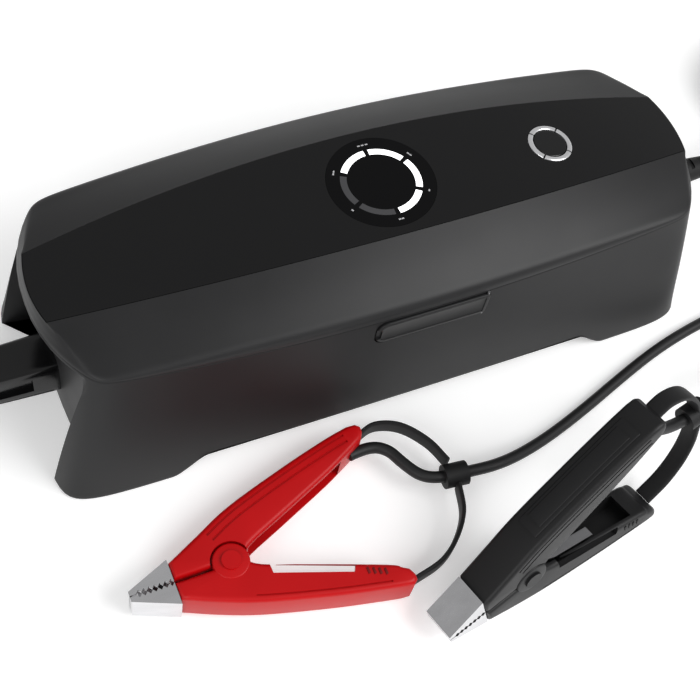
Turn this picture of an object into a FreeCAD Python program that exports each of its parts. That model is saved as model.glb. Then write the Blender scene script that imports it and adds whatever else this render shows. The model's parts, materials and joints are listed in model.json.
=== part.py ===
"""Portable car battery charger: a bridge-shaped case on four leg corners, with two lead clamps.

X runs along the case, the front wall with the USB flap faces -Y, and +Z is up. The origin is on
the floor, under the middle of the case. All sizes are in millimetres.
"""
import FreeCAD, Part
import math
import os
import Sketcher
from FreeCAD import Placement, Rotation, Vector

doc = FreeCAD.newDocument("battery_charger")
sizes = doc.addObject("Spreadsheet::Sheet", "Sizes")

# ---------------------------------------------------------------- driving dimensions
SIZES = [
    # case, as outlines at the feet, the rim and the top
    ("foot_length", 268.0), ("foot_width", 98.0), ("foot_corner_x", 126.0), ("foot_corner_y", 47.5),
    ("rim_length", 256.0), ("rim_width", 91.2), ("rim_corner_x", 111.0), ("rim_corner_y", 38.8),
    ("rim_height", 67.0), ("split_height", 64.8), ("case_bottom", 0.6), ("wall", 2.6),
    ("top_height", 80.5), ("crown_drop", 9.6), ("panel_width", 47.0), ("panel_end_width", 29.0),
    ("panel_length", 249.0), ("panel_thick", 1.4), ("ridge_height", 68.9), ("ridge_end_height", 65.9),
    ("arch_length", 184.0), ("arch_height", 10.0), ("arch_slope", 12.0),
    ("end_wall_x", 122.0), ("end_recess_width", 58.0), ("end_recess_height", 54.0),
    ("part_gap", 0.1), ("moving_gap", 0.3),
    # display and button
    ("lens_diameter", 40.0), ("ring_outer", 14.8), ("ring_inner", 12.4), ("segment_gap", 7.0),
    ("lens_window", 17.0), ("button_x", 70.0), ("button_ring_outer", 8.7), ("button_ring_inner", 6.6),
    ("button_travel", 0.8), ("button_height", 3.7), ("board_level", 69.8), ("board_thick", 1.6),
    # USB flap and ports
    ("flap_left", -18.7), ("flap_pin_x", 24.4), ("flap_low", 52.2), ("flap_high", 63.6),
    ("flap_front", 46.8), ("flap_thick", 1.8), ("flap_pin_radius", 0.5), ("pin_clearance", 0.05),
    ("usb_a_x", 11.0), ("usb_c_x", -7.0), ("usb_board_level", 53.4),
    # inside
    ("main_board_length", 114.0), ("main_board_width", 72.0), ("main_board_x", 36.0),
    ("main_board_level", 21.0), ("cell_diameter", 18.4), ("cell_length", 65.0), ("cell_count", 4),
    ("cell_x", -60.0), ("boss_x", 100.0), ("boss_y", 25.0), ("boss_radius", 4.6),
    ("tower_top", 60.0),
    ("pad_x", 112.0), ("pad_y", 36.5), ("pad_radius", 6.0), ("pad_thick", 2.4),
    ("screw_radius", 1.5), ("screw_head_radius", 3.0), ("seat_height", 48.0),
    # end arm and gland
    ("arm_reach", 165.0), ("arm_width", 17.0), ("arm_tip_width", 14.4), ("arm_low", 13.5),
    ("arm_high", 32.0), ("arm_base_plate", 3.0), ("gland_height", 33.0), ("gland_reach", 165.0),
    ("gland_radius", 6.6), ("gland_tip_radius", 3.9),
    # clamps
    ("clamp_width", 15.0), ("handle_wall", 2.2), ("tongue_width", 9.2), ("boss_outer", 6.6),
    ("pivot_radius", 2.2), ("jaw_sheet", 1.2), ("jaw_width", 13.0), ("tooth_pitch", 1.9),
    ("tang_half_width", 3.0), ("collar_length", 9.0),
    ("strap_width", 7.0), ("strap_thick", 1.8), ("collar_outer", 4.6),
    # leads
    ("main_lead", 6.5), ("single_lead", 4.5), ("coil_radius", 35.0), ("coil_turns", 2.5),
    ("coil_x", 250.0), ("coil_y", 40.0), ("splitter_x", 199.0), ("splitter_y", -58.0),
    ("splitter_length", 26.0), ("splitter_width", 15.0), ("splitter_height", 9.0), ("lead_pitch", 7.2),
]
for row, (alias, value) in enumerate(SIZES, start=1):
    sizes.set("A%d" % row, alias)
    sizes.set("B%d" % row, str(value))
    sizes.setAlias("B%d" % row, alias)
doc.recompute()


def v(alias):
    """The sheet's value of that name."""
    return float(sizes.get(alias))


NODES = []
X_AXIS, Y_AXIS, Z_AXIS = Vector(1, 0, 0), Vector(0, 1, 0), Vector(0, 0, 1)


def node(obj, label):
    """Names obj as a sub-part, which is written to parts/label.step."""
    obj.Label = label
    NODES.append(obj)
    return obj


def cells(text):
    """An expression whose @name words are cells of the sheet."""
    return text.replace("@", "Sizes.")


def place(obj, x="0", y="0", z="0"):
    for axis, text in (("x", x), ("y", y), ("z", z)):
        obj.setExpression("Placement.Base." + axis, cells(text))
    return obj


def box(name, length, width, height, x, y, z):
    """A Part::Box centred on x and y, standing on z, all given as expressions."""
    obj = doc.addObject("Part::Box", name)
    for prop, text in (("Length", length), ("Width", width), ("Height", height)):
        obj.setExpression(prop, cells(text))
    return place(obj, "(%s) - (%s) / 2" % (x, length), "(%s) - (%s) / 2" % (y, width), z)


def cylinder(name, radius, height, x, y, z, turn=None):
    obj = doc.addObject("Part::Cylinder", name)
    obj.setExpression("Radius", cells(radius))
    obj.setExpression("Height", cells(height))
    if turn is not None:
        obj.Placement = Placement(Vector(), turn)
    return place(obj, x, y, z)


def boolean(kind, name, *members):
    """Part::Cut of the first member by the rest, or their Part::MultiFuse or MultiCommon."""
    if kind == "Cut":
        tool = members[1]
        if len(members) > 2:
            tool = doc.addObject("Part::MultiFuse", name + "_tools")
            tool.Shapes = list(members[1:])
        obj = doc.addObject("Part::Cut", name)
        obj.Base = members[0]
        obj.Tool = tool
        return obj
    obj = doc.addObject("Part::Multi" + kind, name)
    obj.Shapes = list(members)
    return obj


def group(name, members):
    """Separate solids kept in one sub-part."""
    obj = doc.addObject("Part::Compound", name)
    obj.Links = list(members)
    return obj


def feature(name, shape, placement=None):
    """A Part::Feature with a shape made by Part's own functions."""
    obj = doc.addObject("Part::Feature", name)
    obj.Shape = shape
    if placement is not None:
        obj.Placement = placement
    return obj


# ---------------------------------------------------------------- PartDesign helpers
def plane_of(body, role):
    return next(f for f in body.Origin.OriginFeatures if f.Role == role)


def rectangle_body(name, length, width, height, x, y, z, corner=None):
    """A PartDesign plate: a rectangle sketched on XY with bound sides, padded, corners rounded."""
    body = doc.addObject("PartDesign::Body", name)
    sketch = body.newObject("Sketcher::SketchObject", name + "_outline")
    sketch.AttachmentSupport = (plane_of(body, "XY_Plane"), [""])
    sketch.MapMode = "FlatFace"
    corners = [Vector(-5, -5, 0), Vector(5, -5, 0), Vector(5, 5, 0), Vector(-5, 5, 0)]
    for k in range(4):
        sketch.addGeometry(Part.LineSegment(corners[k], corners[(k + 1) % 4]), False)
    for k in range(4):
        sketch.addConstraint(Sketcher.Constraint("Coincident", k, 2, (k + 1) % 4, 1))
    for k in (0, 2):
        sketch.addConstraint(Sketcher.Constraint("Horizontal", k))
    for k in (1, 3):
        sketch.addConstraint(Sketcher.Constraint("Vertical", k))
    sketch.addConstraint(Sketcher.Constraint("Symmetric", 0, 1, 1, 2, -1, 1))
    across = sketch.addConstraint(Sketcher.Constraint("DistanceX", 0, 1, 0, 2, 10.0))
    along = sketch.addConstraint(Sketcher.Constraint("DistanceY", 1, 1, 1, 2, 10.0))
    sketch.setExpression("Constraints[%d]" % across, cells(length))
    sketch.setExpression("Constraints[%d]" % along, cells(width))
    pad = body.newObject("PartDesign::Pad", name + "_pad")
    pad.Profile = sketch
    pad.setExpression("Length", cells(height))
    doc.recompute()
    if corner is not None:
        upright = ["Edge%d" % (k + 1) for k, e in enumerate(pad.Shape.Edges)
                   if abs(e.tangentAt(e.FirstParameter).z) > 0.9]
        rounded = body.newObject("PartDesign::Fillet", name + "_corners")
        rounded.Base = (pad, upright)
        rounded.setExpression("Radius", cells(corner))
    return place(body, x, y, z)


def round_body(name, radius, height, x, y, z, edge=None):
    """A PartDesign disc: a circle sketched on XY with a bound radius, padded, its top edge rounded."""
    body = doc.addObject("PartDesign::Body", name)
    sketch = body.newObject("Sketcher::SketchObject", name + "_outline")
    sketch.AttachmentSupport = (plane_of(body, "XY_Plane"), [""])
    sketch.MapMode = "FlatFace"
    sketch.addGeometry(Part.Circle(Vector(0, 0, 0), Z_AXIS, 5), False)
    sketch.addConstraint(Sketcher.Constraint("Coincident", 0, 3, -1, 1))
    size = sketch.addConstraint(Sketcher.Constraint("Radius", 0, 5.0))
    sketch.setExpression("Constraints[%d]" % size, cells(radius))
    pad = body.newObject("PartDesign::Pad", name + "_pad")
    pad.Profile = sketch
    pad.setExpression("Length", cells(height))
    doc.recompute()
    if edge is not None:
        top = max(range(len(pad.Shape.Edges)), key=lambda k: pad.Shape.Edges[k].CenterOfMass.z)
        rounded = body.newObject("PartDesign::Fillet", name + "_edge")
        rounded.Base = (pad, ["Edge%d" % (top + 1)])
        rounded.Radius = edge
    return place(body, x, y, z)


# ---------------------------------------------------------------- case outlines
def outline(corner_x, corner_y, half_length, half_width, level):
    """A barrel-shaped closed wire of four arcs: front, right end, back, left end."""
    points = [Vector(-corner_x, -corner_y, level), Vector(corner_x, -corner_y, level),
              Vector(corner_x, corner_y, level), Vector(-corner_x, corner_y, level)]
    middles = [Vector(0, -half_width, level), Vector(half_length, 0, level),
               Vector(0, half_width, level), Vector(-half_length, 0, level)]
    edges = [Part.Arc(points[k], middles[k], points[(k + 1) % 4]).toShape() for k in range(4)]
    return Part.Wire(edges)


def foot_outline(inset, level):
    """The case's outline on the floor, set in by inset and drawn at level."""
    return outline(v("foot_corner_x") - inset, v("foot_corner_y") - inset,
                   v("foot_length") / 2 - inset, v("foot_width") / 2 - inset, level)


def rim_outline(inset, level):
    """The case's outline where the cover's edge is."""
    return outline(v("rim_corner_x") - inset, v("rim_corner_y") - inset,
                   v("rim_length") / 2 - inset, v("rim_width") / 2 - inset, level)


def tray(inset):
    """The leaning walls, from the floor to the rim, as a solid set in by inset."""
    return Part.makeLoft([foot_outline(inset, 0), rim_outline(inset, v("rim_height"))], True, True)


def prism(wire, height):
    """The space over a closed flat wire."""
    return Part.Face(wire).extrude(Vector(0, 0, height))


def block(x0, x1, y0, y1, z0, z1):
    """A box from its lowest to its highest corner."""
    return Part.makeBox(x1 - x0, y1 - y0, z1 - z0, Vector(x0, y0, z0))


def crown(x):
    """Height of the gloss panel's middle line at x."""
    return v("top_height") - v("crown_drop") * (2 * x / v("panel_length")) ** 2


def roof(drop):
    """The space under the crowned top and its two bevels, lowered by drop."""
    sections = []
    half = v("foot_length") / 2
    low = v("split_height") - 20
    for k in range(7):
        x = half * (k / 3.0 - 1)
        share = (x / v("rim_corner_x")) ** 2
        panel = (v("panel_width") - (v("panel_width") - v("panel_end_width"))
                 * (2 * x / v("panel_length")) ** 2) / 2
        ridge = v("rim_width") / 2 - (v("rim_width") / 2 - v("rim_corner_y")) * share
        fall = v("ridge_height") - (v("ridge_height") - v("ridge_end_height")) * share
        slope = (crown(x) - fall) / (ridge - panel)
        far = v("foot_width") / 2 + 4
        side = crown(x) - drop - slope * (far - panel)
        points = [Vector(x, -far, low), Vector(x, -far, side), Vector(x, -panel, crown(x) - drop),
                  Vector(x, panel, crown(x) - drop), Vector(x, far, side), Vector(x, far, low)]
        sections.append(Part.makePolygon(points + [points[0]]))
    return Part.makeLoft(sections, True, False)


def panel_prism(gap):
    """The gloss panel's outline as a tall prism, grown by gap all round."""
    corner_x = v("panel_length") / 2 - 1.0 + gap
    wire = outline(corner_x, v("panel_end_width") / 2 + gap, v("panel_length") / 2 + gap,
                   v("panel_width") / 2 + gap, v("split_height") - 5)
    return prism(wire, 40)


def mirrored_four(make, x, y):
    """The same shape at the four corners."""
    return [make(sx * x, sy * y) for sx in (-1, 1) for sy in (-1, 1)]


def rod(radius, x, y, low, high):
    return Part.makeCylinder(radius, high - low, Vector(x, y, low))


BUTTON_TILT = math.degrees(math.atan(8 * v("crown_drop") * v("button_x") / v("panel_length") ** 2))
BUTTON_AT = Vector(v("button_x"), 0, crown(v("button_x")))
BUTTON_PLACE = Placement(BUTTON_AT, Rotation(Y_AXIS, BUTTON_TILT))


def along_button(shape):
    """Moves a shape made about the button's own axis to the button."""
    moved = shape.copy()
    moved.Placement = BUTTON_PLACE
    return moved


# ---------------------------------------------------------------- lower case
def lower_case_shape():
    wall = v("wall")
    far = v("foot_length")
    outer = tray(0).cut(block(-far, far, -far, far, v("split_height"), 90))
    outer = outer.cut(block(-far, far, -far, far, -5, v("case_bottom")))
    # arch between the legs, under the front and back walls
    half, slope, top = v("arch_length") / 2, v("arch_slope"), v("arch_height")
    profile = [Vector(-half, -far, -1), Vector(half, -far, -1), Vector(half - slope, -far, top),
               Vector(slope - half, -far, top)]
    arch = Part.Face(Part.makePolygon(profile + [profile[0]])).extrude(Vector(0, 2 * far, 0))
    outer = outer.cut(arch)
    # recesses in both ends, between the leg corners
    reach, width, height = v("end_wall_x"), v("end_recess_width") / 2, v("end_recess_height")
    for side in (-1, 1):
        near, out = sorted((side * reach, side * far))
        outer = outer.cut(block(near, out, -width, width, -1, height))
    # hollow, with a floor over the arch and in the legs
    inner = tray(wall).cut(block(-far, far, -far, far, -5, v("case_bottom") + wall))
    floor = [Vector(wall + half, -far, -1), Vector(wall + half - slope, -far, top + wall),
             Vector(slope - half - wall, -far, top + wall), Vector(-half - wall, -far, -1)]
    inner = inner.cut(Part.Face(Part.makePolygon(floor + [floor[0]])).extrude(Vector(0, 2 * far, 0)))
    for side in (-1, 1):
        near, out = sorted((side * (reach - wall), side * far))
        inner = inner.cut(block(near, out, -width - wall, width + wall, -1, height + wall))
    shell = outer.cut(inner)
    # screw towers, bored from below, and recesses for the rubber feet
    tower_top = v("tower_top")
    towers = mirrored_four(lambda x, y: rod(v("boss_radius"), x, y, v("case_bottom") + 1, tower_top),
                           v("boss_x"), v("boss_y"))
    shell = shell.multiFuse(towers)
    holes = mirrored_four(lambda x, y: rod(v("screw_head_radius") + 0.3, x, y, -1, v("seat_height")),
                          v("boss_x"), v("boss_y"))
    holes += mirrored_four(lambda x, y: rod(v("screw_radius") + 0.3, x, y, 0, tower_top + 1),
                           v("boss_x"), v("boss_y"))
    holes += mirrored_four(lambda x, y: rod(v("pad_radius") + 0.1, x, y, -1, v("pad_thick")),
                           v("pad_x"), v("pad_y"))
    seat = v("pad_thick") + 1.6
    pads = mirrored_four(lambda x, y: rod(v("pad_radius") + 1.4, x, y, v("case_bottom"), seat),
                         v("pad_x"), v("pad_y"))
    shell = shell.multiFuse([p.common(tray(0)) for p in pads])
    # opening for the USB flap, with the hinge pin's seats above and below
    gap = v("moving_gap")
    front = -v("flap_front")
    left, right, low, high = v("flap_left"), v("flap_pin_x"), v("flap_low"), v("flap_high")
    behind = front + v("flap_thick") + gap
    flap_hole = block(left - gap, right + v("flap_thick") / 2 + gap, front - 5, behind, low - gap, high + gap)
    port_hole = block(left + 2, right - 3, front, front + 9, low + 0.4, high - 0.4)
    backing = block(left - 2, right + 4, behind, front + 4.4, low - 2, v("split_height"))
    shell = shell.fuse(backing.common(tray(0.2)))
    pin = rod(v("flap_pin_radius"), right, front + v("flap_thick") / 2, low - 1.0, high + 0.9)
    # openings in the end walls for the arm and the gland
    fit = v("part_gap")
    beside = v("arm_width") / 2 + fit
    arm = block(-far, 22 - reach, -beside, beside, v("arm_low") - fit, v("arm_high") + fit)
    gland = Part.makeCylinder(v("gland_radius") + fit, 40, Vector(reach - 22, 0, v("gland_height")), X_AXIS)
    for tool in holes + [flap_hole, port_hole, pin, arm, gland]:
        shell = shell.cut(tool)
    return shell.removeSplitter()


# ---------------------------------------------------------------- cover and gloss panel
BOARD_SCREWS = [(x, y) for x in (-20, 80) for y in (-13, 13)]


def cover_boss(x, y):
    """A bored column under the cover for a case screw."""
    column = rod(v("boss_radius") - 0.6, x, y, v("tower_top") + 0.2, crown(x) - 2)
    bore = rod(v("screw_radius"), x, y, v("tower_top") - 5, v("tower_top") + 6)
    return column.common(roof(v("wall") - 0.4)).cut(bore)


def board_post(x, y):
    """A bored post under the cover for a screw of the display board."""
    level = v("board_level") + v("board_thick")
    return rod(2.4, x, y, level, crown(x) - 2).cut(rod(0.8, x, y, level - 1, level + 3.4))


def button_hole():
    """The round hole for the button's ring, through the panel and the cover."""
    return along_button(Part.makeCylinder(v("button_ring_outer") + v("part_gap"), 30, Vector(0, 0, -20)))


def cover_shape():
    wall, split = v("wall"), v("split_height")
    outer = roof(0).common(prism(rim_outline(0, split), 40))
    inner = roof(wall).common(prism(rim_outline(wall, split - 1), 40))
    pocket = panel_prism(v("part_gap")).cut(roof(v("panel_thick")))
    lip = prism(rim_outline(wall - 0.2, split), 1.6).cut(prism(rim_outline(wall + 1.7, split - 1), 5))
    shell = outer.cut(inner).cut(pocket).fuse(lip.common(roof(0.6)))
    bosses = mirrored_four(cover_boss, v("boss_x"), v("boss_y"))
    posts = [board_post(x, y) for x, y in BOARD_SCREWS]
    shell = shell.multiFuse(bosses + posts).cut(rod(v("lens_window"), 0, 0, 60, 90))
    return shell.cut(button_hole()).removeSplitter()


def skin():
    """The thin crowned layer that the gloss panel and the display lens share."""
    return panel_prism(0).common(roof(0)).cut(roof(v("panel_thick")))


def panel_shape():
    return skin().cut(rod(v("lens_diameter") / 2, 0, 0, 60, 90)).cut(button_hole())


def segment(index, outer, inner, gap_deg):
    """A sixth of the light ring, as a tall prism."""
    start = 60 * index + 30 + gap_deg / 2
    sweep = 60 - gap_deg
    piece = Part.makeCylinder(outer, 40, Vector(0, 0, 55), Z_AXIS, sweep)
    piece = piece.cut(Part.makeCylinder(inner, 40, Vector(0, 0, 55)))
    piece.rotate(Vector(), Z_AXIS, start)
    return piece


def segments(gap):
    """The six light segments, each grown by gap."""
    outer, inner = v("ring_outer") + gap, v("ring_inner") - gap
    return [segment(k, outer, inner, v("segment_gap") - 4 * gap) for k in range(6)]


def lens_shape():
    lens = skin().common(rod(v("lens_diameter") / 2 - v("part_gap"), 0, 0, 60, 90))
    for tool in segments(0.02):
        lens = lens.cut(tool)
    return lens


def gasket_shape():
    """A square cord inside the walls, under the cover's edge, left out behind the USB ports."""
    low, thick = v("split_height") - 2.4, 1.4
    outer = prism(rim_outline(v("wall") + 0.3, low), 2.4)
    ring = outer.cut(prism(rim_outline(v("wall") + 0.3 + thick, low - 1), 5))
    return ring.cut(block(v("flap_left") - 11, v("flap_pin_x") + 11, -60, -30, low - 2, low + 6))


# The two segments on the left of the ring are unlit.
DIM_SEGMENTS = (2, 3)
guides = [s.common(skin()) for s in segments(0.0)]
lit_guides = Part.makeCompound([g for k, g in enumerate(guides) if k not in DIM_SEGMENTS])
dim_guides = Part.makeCompound([guides[k] for k in DIM_SEGMENTS])

node(feature("lower_case_body", lower_case_shape()), "lower_case")
node(feature("cover_body", cover_shape()), "top_cover")
node(feature("panel_body", panel_shape()), "gloss_panel")
node(feature("lens_body", lens_shape()), "display_lens")
node(feature("lit_guides", lit_guides), "light_guides_lit")
node(feature("dim_guides", dim_guides), "light_guides_dim")
node(feature("gasket_ring", gasket_shape()), "case_gasket")

# ---------------------------------------------------------------- button
button_ring = cylinder("button_ring_outer_wall", "@button_ring_outer", "@panel_thick + 1.2", "0", "0", "0")
button_bore = cylinder("button_ring_bore", "@button_ring_inner", "20", "0", "0", "-5")
button_trim = boolean("Cut", "button_trim", button_ring, button_bore)
doc.recompute()
button_trim.Placement = BUTTON_PLACE.multiply(Placement(Vector(0, 0, -v("panel_thick") - 0.9), Rotation()))
node(button_trim, "button_ring")
cap = round_body("button_cap_body", "@button_ring_inner - 0.2", "@button_height", "0", "0", "0", 0.5)
doc.recompute()
for axis in "xyz":
    cap.setExpression("Placement.Base." + axis, None)
cap.Placement = BUTTON_PLACE.multiply(Placement(Vector(0, 0, -v("button_height") + 0.1), Rotation()))
node(cap, "button_cap")

# ---------------------------------------------------------------- display board
board = rectangle_body("display_board_body", "112", "36", "@board_thick", "30", "0", "@board_level", "2")
switch_base = box("switch_base", "6", "6", "1.0", "@button_x - 0.3", "0", "@board_level + @board_thick")
switch_stem = cylinder("switch_stem", "1.7", "0.4", "@button_x - 0.3", "0",
                       "@board_level + @board_thick + 1.0")
node(boolean("Fuse", "switch", switch_base, switch_stem), "tact_switch")
led_radius = (v("ring_outer") + v("ring_inner")) / 2
leds = []
for k in range(6):
    angle = math.radians(60 * k + 60)
    leds.append(box("led_%d" % k, "2.2", "2.2", "1.2", "%.3f" % (led_radius * math.cos(angle)),
                    "%.3f" % (led_radius * math.sin(angle)), "@board_level + @board_thick"))
node(group("leds", leds), "display_leds")
display_screws = []
for x, y in BOARD_SCREWS:
    head = cylinder("display_screw_head", "1.7", "1.2", str(x), str(y), "@board_level - 1.2")
    shank = cylinder("display_screw_shank", "0.8", "3.6", str(x), str(y), "@board_level - 0.2")
    display_screws.append(boolean("Fuse", "display_screw", head, shank))
node(group("display_screw_set", display_screws), "display_screws")
board_holes = [cylinder("display_board_hole", "0.8", "4", str(x), str(y), "@board_level - 1")
               for x, y in BOARD_SCREWS]
node(boolean("Cut", "display_board_drilled", board, *board_holes), "display_board")

# ---------------------------------------------------------------- electronics
main_board = rectangle_body("main_board_body", "@main_board_length", "@main_board_width", "@board_thick",
                            "@main_board_x", "0", "@main_board_level", "3")
post_spots = [("@main_board_x %s (@main_board_length / 2 - 5)" % a, "0 %s (@main_board_width / 2 - 5)" % b)
              for a in "-+" for b in "-+"]
drills = [cylinder("mb_hole", "1.6", "4", x, y, "@main_board_level - 1") for x, y in post_spots]
node(boolean("Cut", "main_board_drilled", main_board, *drills), "main_board")
posts = []
screws = []
for x, y in post_spots:
    post = cylinder("post", "3.2", "@main_board_level - @arch_height - @wall", x, y, "@arch_height + @wall")
    bore = cylinder("post_bore", "1.25", "7", x, y, "@main_board_level - 6")
    posts.append(boolean("Cut", "post_bored", post, bore))
    head = cylinder("screw_head", "2.8", "1.8", x, y, "@main_board_level + @board_thick")
    shank = cylinder("screw_shank", "1.25", "6 + @board_thick", x, y, "@main_board_level - 5")
    screws.append(boolean("Fuse", "board_screw", head, shank))
node(group("post_set", posts), "board_standoffs")
node(group("board_screw_set", screws), "board_screws")

TOP = "@main_board_level + @board_thick"
core = box("core", "30", "24", "22", "8", "-12", TOP)
winding = box("winding", "16", "32", "16", "8", "-12", TOP + " + 3")
node(boolean("Fuse", "transformer_body", core, winding), "transformer")
choke = doc.addObject("Part::Torus", "choke")
choke.Radius1, choke.Radius2 = 8.0, 4.2
place(choke, "46", "-16", TOP + " + 4.2")
node(choke, "inductor")
cans = [cylinder("capacitor", "5", "20", "72", y, TOP) for y in ("-27", "-15", "-3")]
node(group("capacitor_set", cans), "capacitors")
fins = [box("fin", "40", "1.6", "18", "20", str(16 + 4 * k), TOP + " + 3") for k in range(4)]
sink_base = box("sink_base", "40", "15", "3", "20", "22", TOP)
node(boolean("Fuse", "sink", sink_base, *fins), "heat_sink")
fuse_body = box("fuse_body", "19", "5", "9", "82", "9", TOP + " + 2")
fuse_legs = [box("fuse_leg", "4", "0.8", "3", x, "9", TOP) for x in ("75", "89")]
node(boolean("Fuse", "blade_fuse", fuse_body, *fuse_legs), "output_fuse")
node(box("relay_body", "26", "14", "16", "76", "20.4", TOP), "output_relay")

# battery pack on the other side of the case from the board
pitch = "(@cell_diameter + 0.8)"
tubes, pockets = [], []
for k in range(int(v("cell_count"))):
    y = "%s * (%d - (@cell_count - 1) / 2)" % (pitch, k)
    z = "@arch_height + @wall + 2 + @cell_diameter / 2"
    turned = Rotation(Y_AXIS, 90)
    tubes.append(cylinder("cell", "@cell_diameter / 2", "@cell_length", "@cell_x - @cell_length / 2",
                          y, z, turned))
    pockets.append(cylinder("cell_pocket", "@cell_diameter / 2 + 0.1", "@cell_length + 0.2",
                            "@cell_x - @cell_length / 2 - 0.1", y, z, turned))
node(group("cell_set", tubes), "battery_cells")
holder_width = "@cell_count * %s + 2" % pitch
ends = [box("holder_end", "5", holder_width, "@cell_diameter + 4", "@cell_x %s (@cell_length / 2 - 1)" % side,
            "0", "@arch_height + @wall") for side in "-+"]
bar = box("holder_bar", "@cell_length - 4", "6", "2", "@cell_x", "0", "@arch_height + @wall")
node(boolean("Cut", "holder", boolean("Fuse", "holder_block", *ends, bar), *pockets), "cell_holder")

# ---------------------------------------------------------------- USB ports and flap
usb_board = rectangle_body("usb_board_body", "44", "22", "@board_thick", "3", "13 - @flap_front + 4.8",
                           "@usb_board_level", "1")
node(usb_board, "usb_board")
USB_TOP = "@usb_board_level + @board_thick"


def receptacle(name, length, depth, height, x, mouth, tongue):
    """A shell with an open mouth towards -Y and a tongue inside."""
    y = "%s / 2 - @flap_front + 3.0" % depth
    shell = box(name + "_shell", length, depth, height, x, y, USB_TOP)
    hole = box(name + "_mouth", "%s - 0.8" % length, depth, mouth, x, "%s - 1" % y,
               "%s + (%s - %s) / 2" % (USB_TOP, height, mouth))
    bar = box(name + "_tongue", "%s - 3" % length, "%s - 2" % depth, tongue, x, "%s + 1" % y,
              "%s + (%s - %s) / 2" % (USB_TOP, height, tongue))
    return boolean("Fuse", name, boolean("Cut", name + "_open", shell, hole), bar)


node(receptacle("usb_a", "14.2", "14", "6.6", "@usb_a_x", "5.6", "1.9"), "usb_a_receptacle")
node(receptacle("usb_c", "9.0", "8", "3.3", "@usb_c_x", "2.6", "0.7"), "usb_c_receptacle")

flap_mid = -v("flap_front") + v("flap_thick") / 2


def flap_shape():
    """A flat plate with a round hinge end, rounded corners, a finger notch and a bore for the pin."""
    low, high, left, pin_x = v("flap_low"), v("flap_high"), v("flap_left"), v("flap_pin_x")
    front, middle = -v("flap_front"), (v("flap_low") + v("flap_high")) / 2
    plate = block(left, pin_x, front, front + v("flap_thick"), low, high)
    free = [e for e in plate.Edges if abs(e.tangentAt(0).y) > 0.9 and e.CenterOfMass.x < left + 0.1]
    plate = plate.makeFillet(4.0, free)
    plate = plate.fuse(rod(v("flap_thick") / 2, pin_x, flap_mid, low, high))
    plate = plate.cut(block(left - 1, left + 2.2, front - 1, front + 0.9, middle - 2.6, middle + 2.6))
    bore = rod(v("flap_pin_radius") + v("pin_clearance"), pin_x, flap_mid, low - 1, high + 1)
    return plate.cut(bore).removeSplitter()


node(feature("flap_plate", flap_shape()), "usb_flap")
node(cylinder("flap_pin", "@flap_pin_radius", "@flap_high - @flap_low + 1.8", "@flap_pin_x",
              "@flap_thick / 2 - @flap_front", "@flap_low - 0.9"), "usb_flap_pin")

# ---------------------------------------------------------------- feet and case screws
pads = []
for a in (-1, 1):
    for b in (-1, 1):
        x, y = "%d * @pad_x" % a, "%d * @pad_y" % b
        pads.append(round_body("pad_%d%d" % (a, b), "@pad_radius", "@pad_thick", x, y, "0"))
node(group("pad_set", pads), "rubber_feet")
case_screws = []
for a in (-1, 1):
    for b in (-1, 1):
        x, y = "%d * @boss_x" % a, "%d * @boss_y" % b
        head = cylinder("case_screw_head", "@screw_head_radius", "2.6", x, y, "@seat_height - 2.6")
        shank = cylinder("case_screw_shank", "@screw_radius", "@tower_top + 5 - @seat_height", x, y,
                         "@seat_height - 1")
        case_screws.append(boolean("Fuse", "case_screw", head, shank))
node(group("case_screw_set", case_screws), "case_screws")


# ---------------------------------------------------------------- end arm and lead gland
def arm_shape():
    """A tapered bar out of the left end wall, held by a flange inside it."""
    reach, root = v("arm_reach"), v("end_wall_x") - v("wall")

    def section(x, half, low, high):
        points = [Vector(x, -half, low), Vector(x, half, low), Vector(x, half, high), Vector(x, -half, high)]
        return Part.makePolygon(points + [points[0]])

    half, low, high = v("arm_width") / 2, v("arm_low"), v("arm_high")
    drop = half - v("arm_tip_width") / 2
    straight = section(3 - root, half, low, high)
    face = section(-v("end_wall_x"), half, low, high)
    tip = section(-reach, half - drop, low + drop, high - drop)
    bar = Part.makeLoft([straight, face], True, True).fuse(Part.makeLoft([face, tip], True, True))
    # a shallow pocket in each side, over the thicker base
    for side in (-1, 1):
        near, far = sorted((side * (half - 2.0), side * 2 * half))
        pocket = block(12 - reach, 26 - reach, near, far, low + v("arm_base_plate") + 2, (low + high) / 2 + 3)
        bar = bar.cut(pocket)
    flange = block(-root, 3 - root, -half - 4, half + 4, low - 3, high + 4)
    return bar.fuse(flange).removeSplitter()


node(feature("arm_body", arm_shape()), "end_arm")


def gland_shape():
    """A flanged strain relief that tapers to the main lead, turned about X."""
    wall_in, wall_out, reach = v("end_wall_x") - v("wall"), v("end_wall_x"), v("gland_reach")
    radius, tip, bore = v("gland_radius"), v("gland_tip_radius"), v("main_lead") / 2
    profile = [(wall_in - 6, bore), (wall_in - 6, radius), (wall_out, radius), (wall_out, radius + 2.2),
               (wall_out + 3.5, radius + 2.2), (wall_out + 5, radius), (wall_out + 16, radius - 0.6),
               (reach, tip), (reach, bore)]
    points = [Vector(x, 0, r) for x, r in profile]
    face = Part.Face(Part.makePolygon(points + [points[0]]))
    body = face.revolve(Vector(), X_AXIS, 360)
    for k in range(4):
        x = wall_out + 18 + 5 * k
        for side in (-1, 1):
            near, far = sorted((side * (bore + 0.9), side * 9))
            body = body.cut(block(x, x + 1.8, -9, 9, near, far))
    body.translate(Vector(0, 0, v("gland_height")))
    return body


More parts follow.
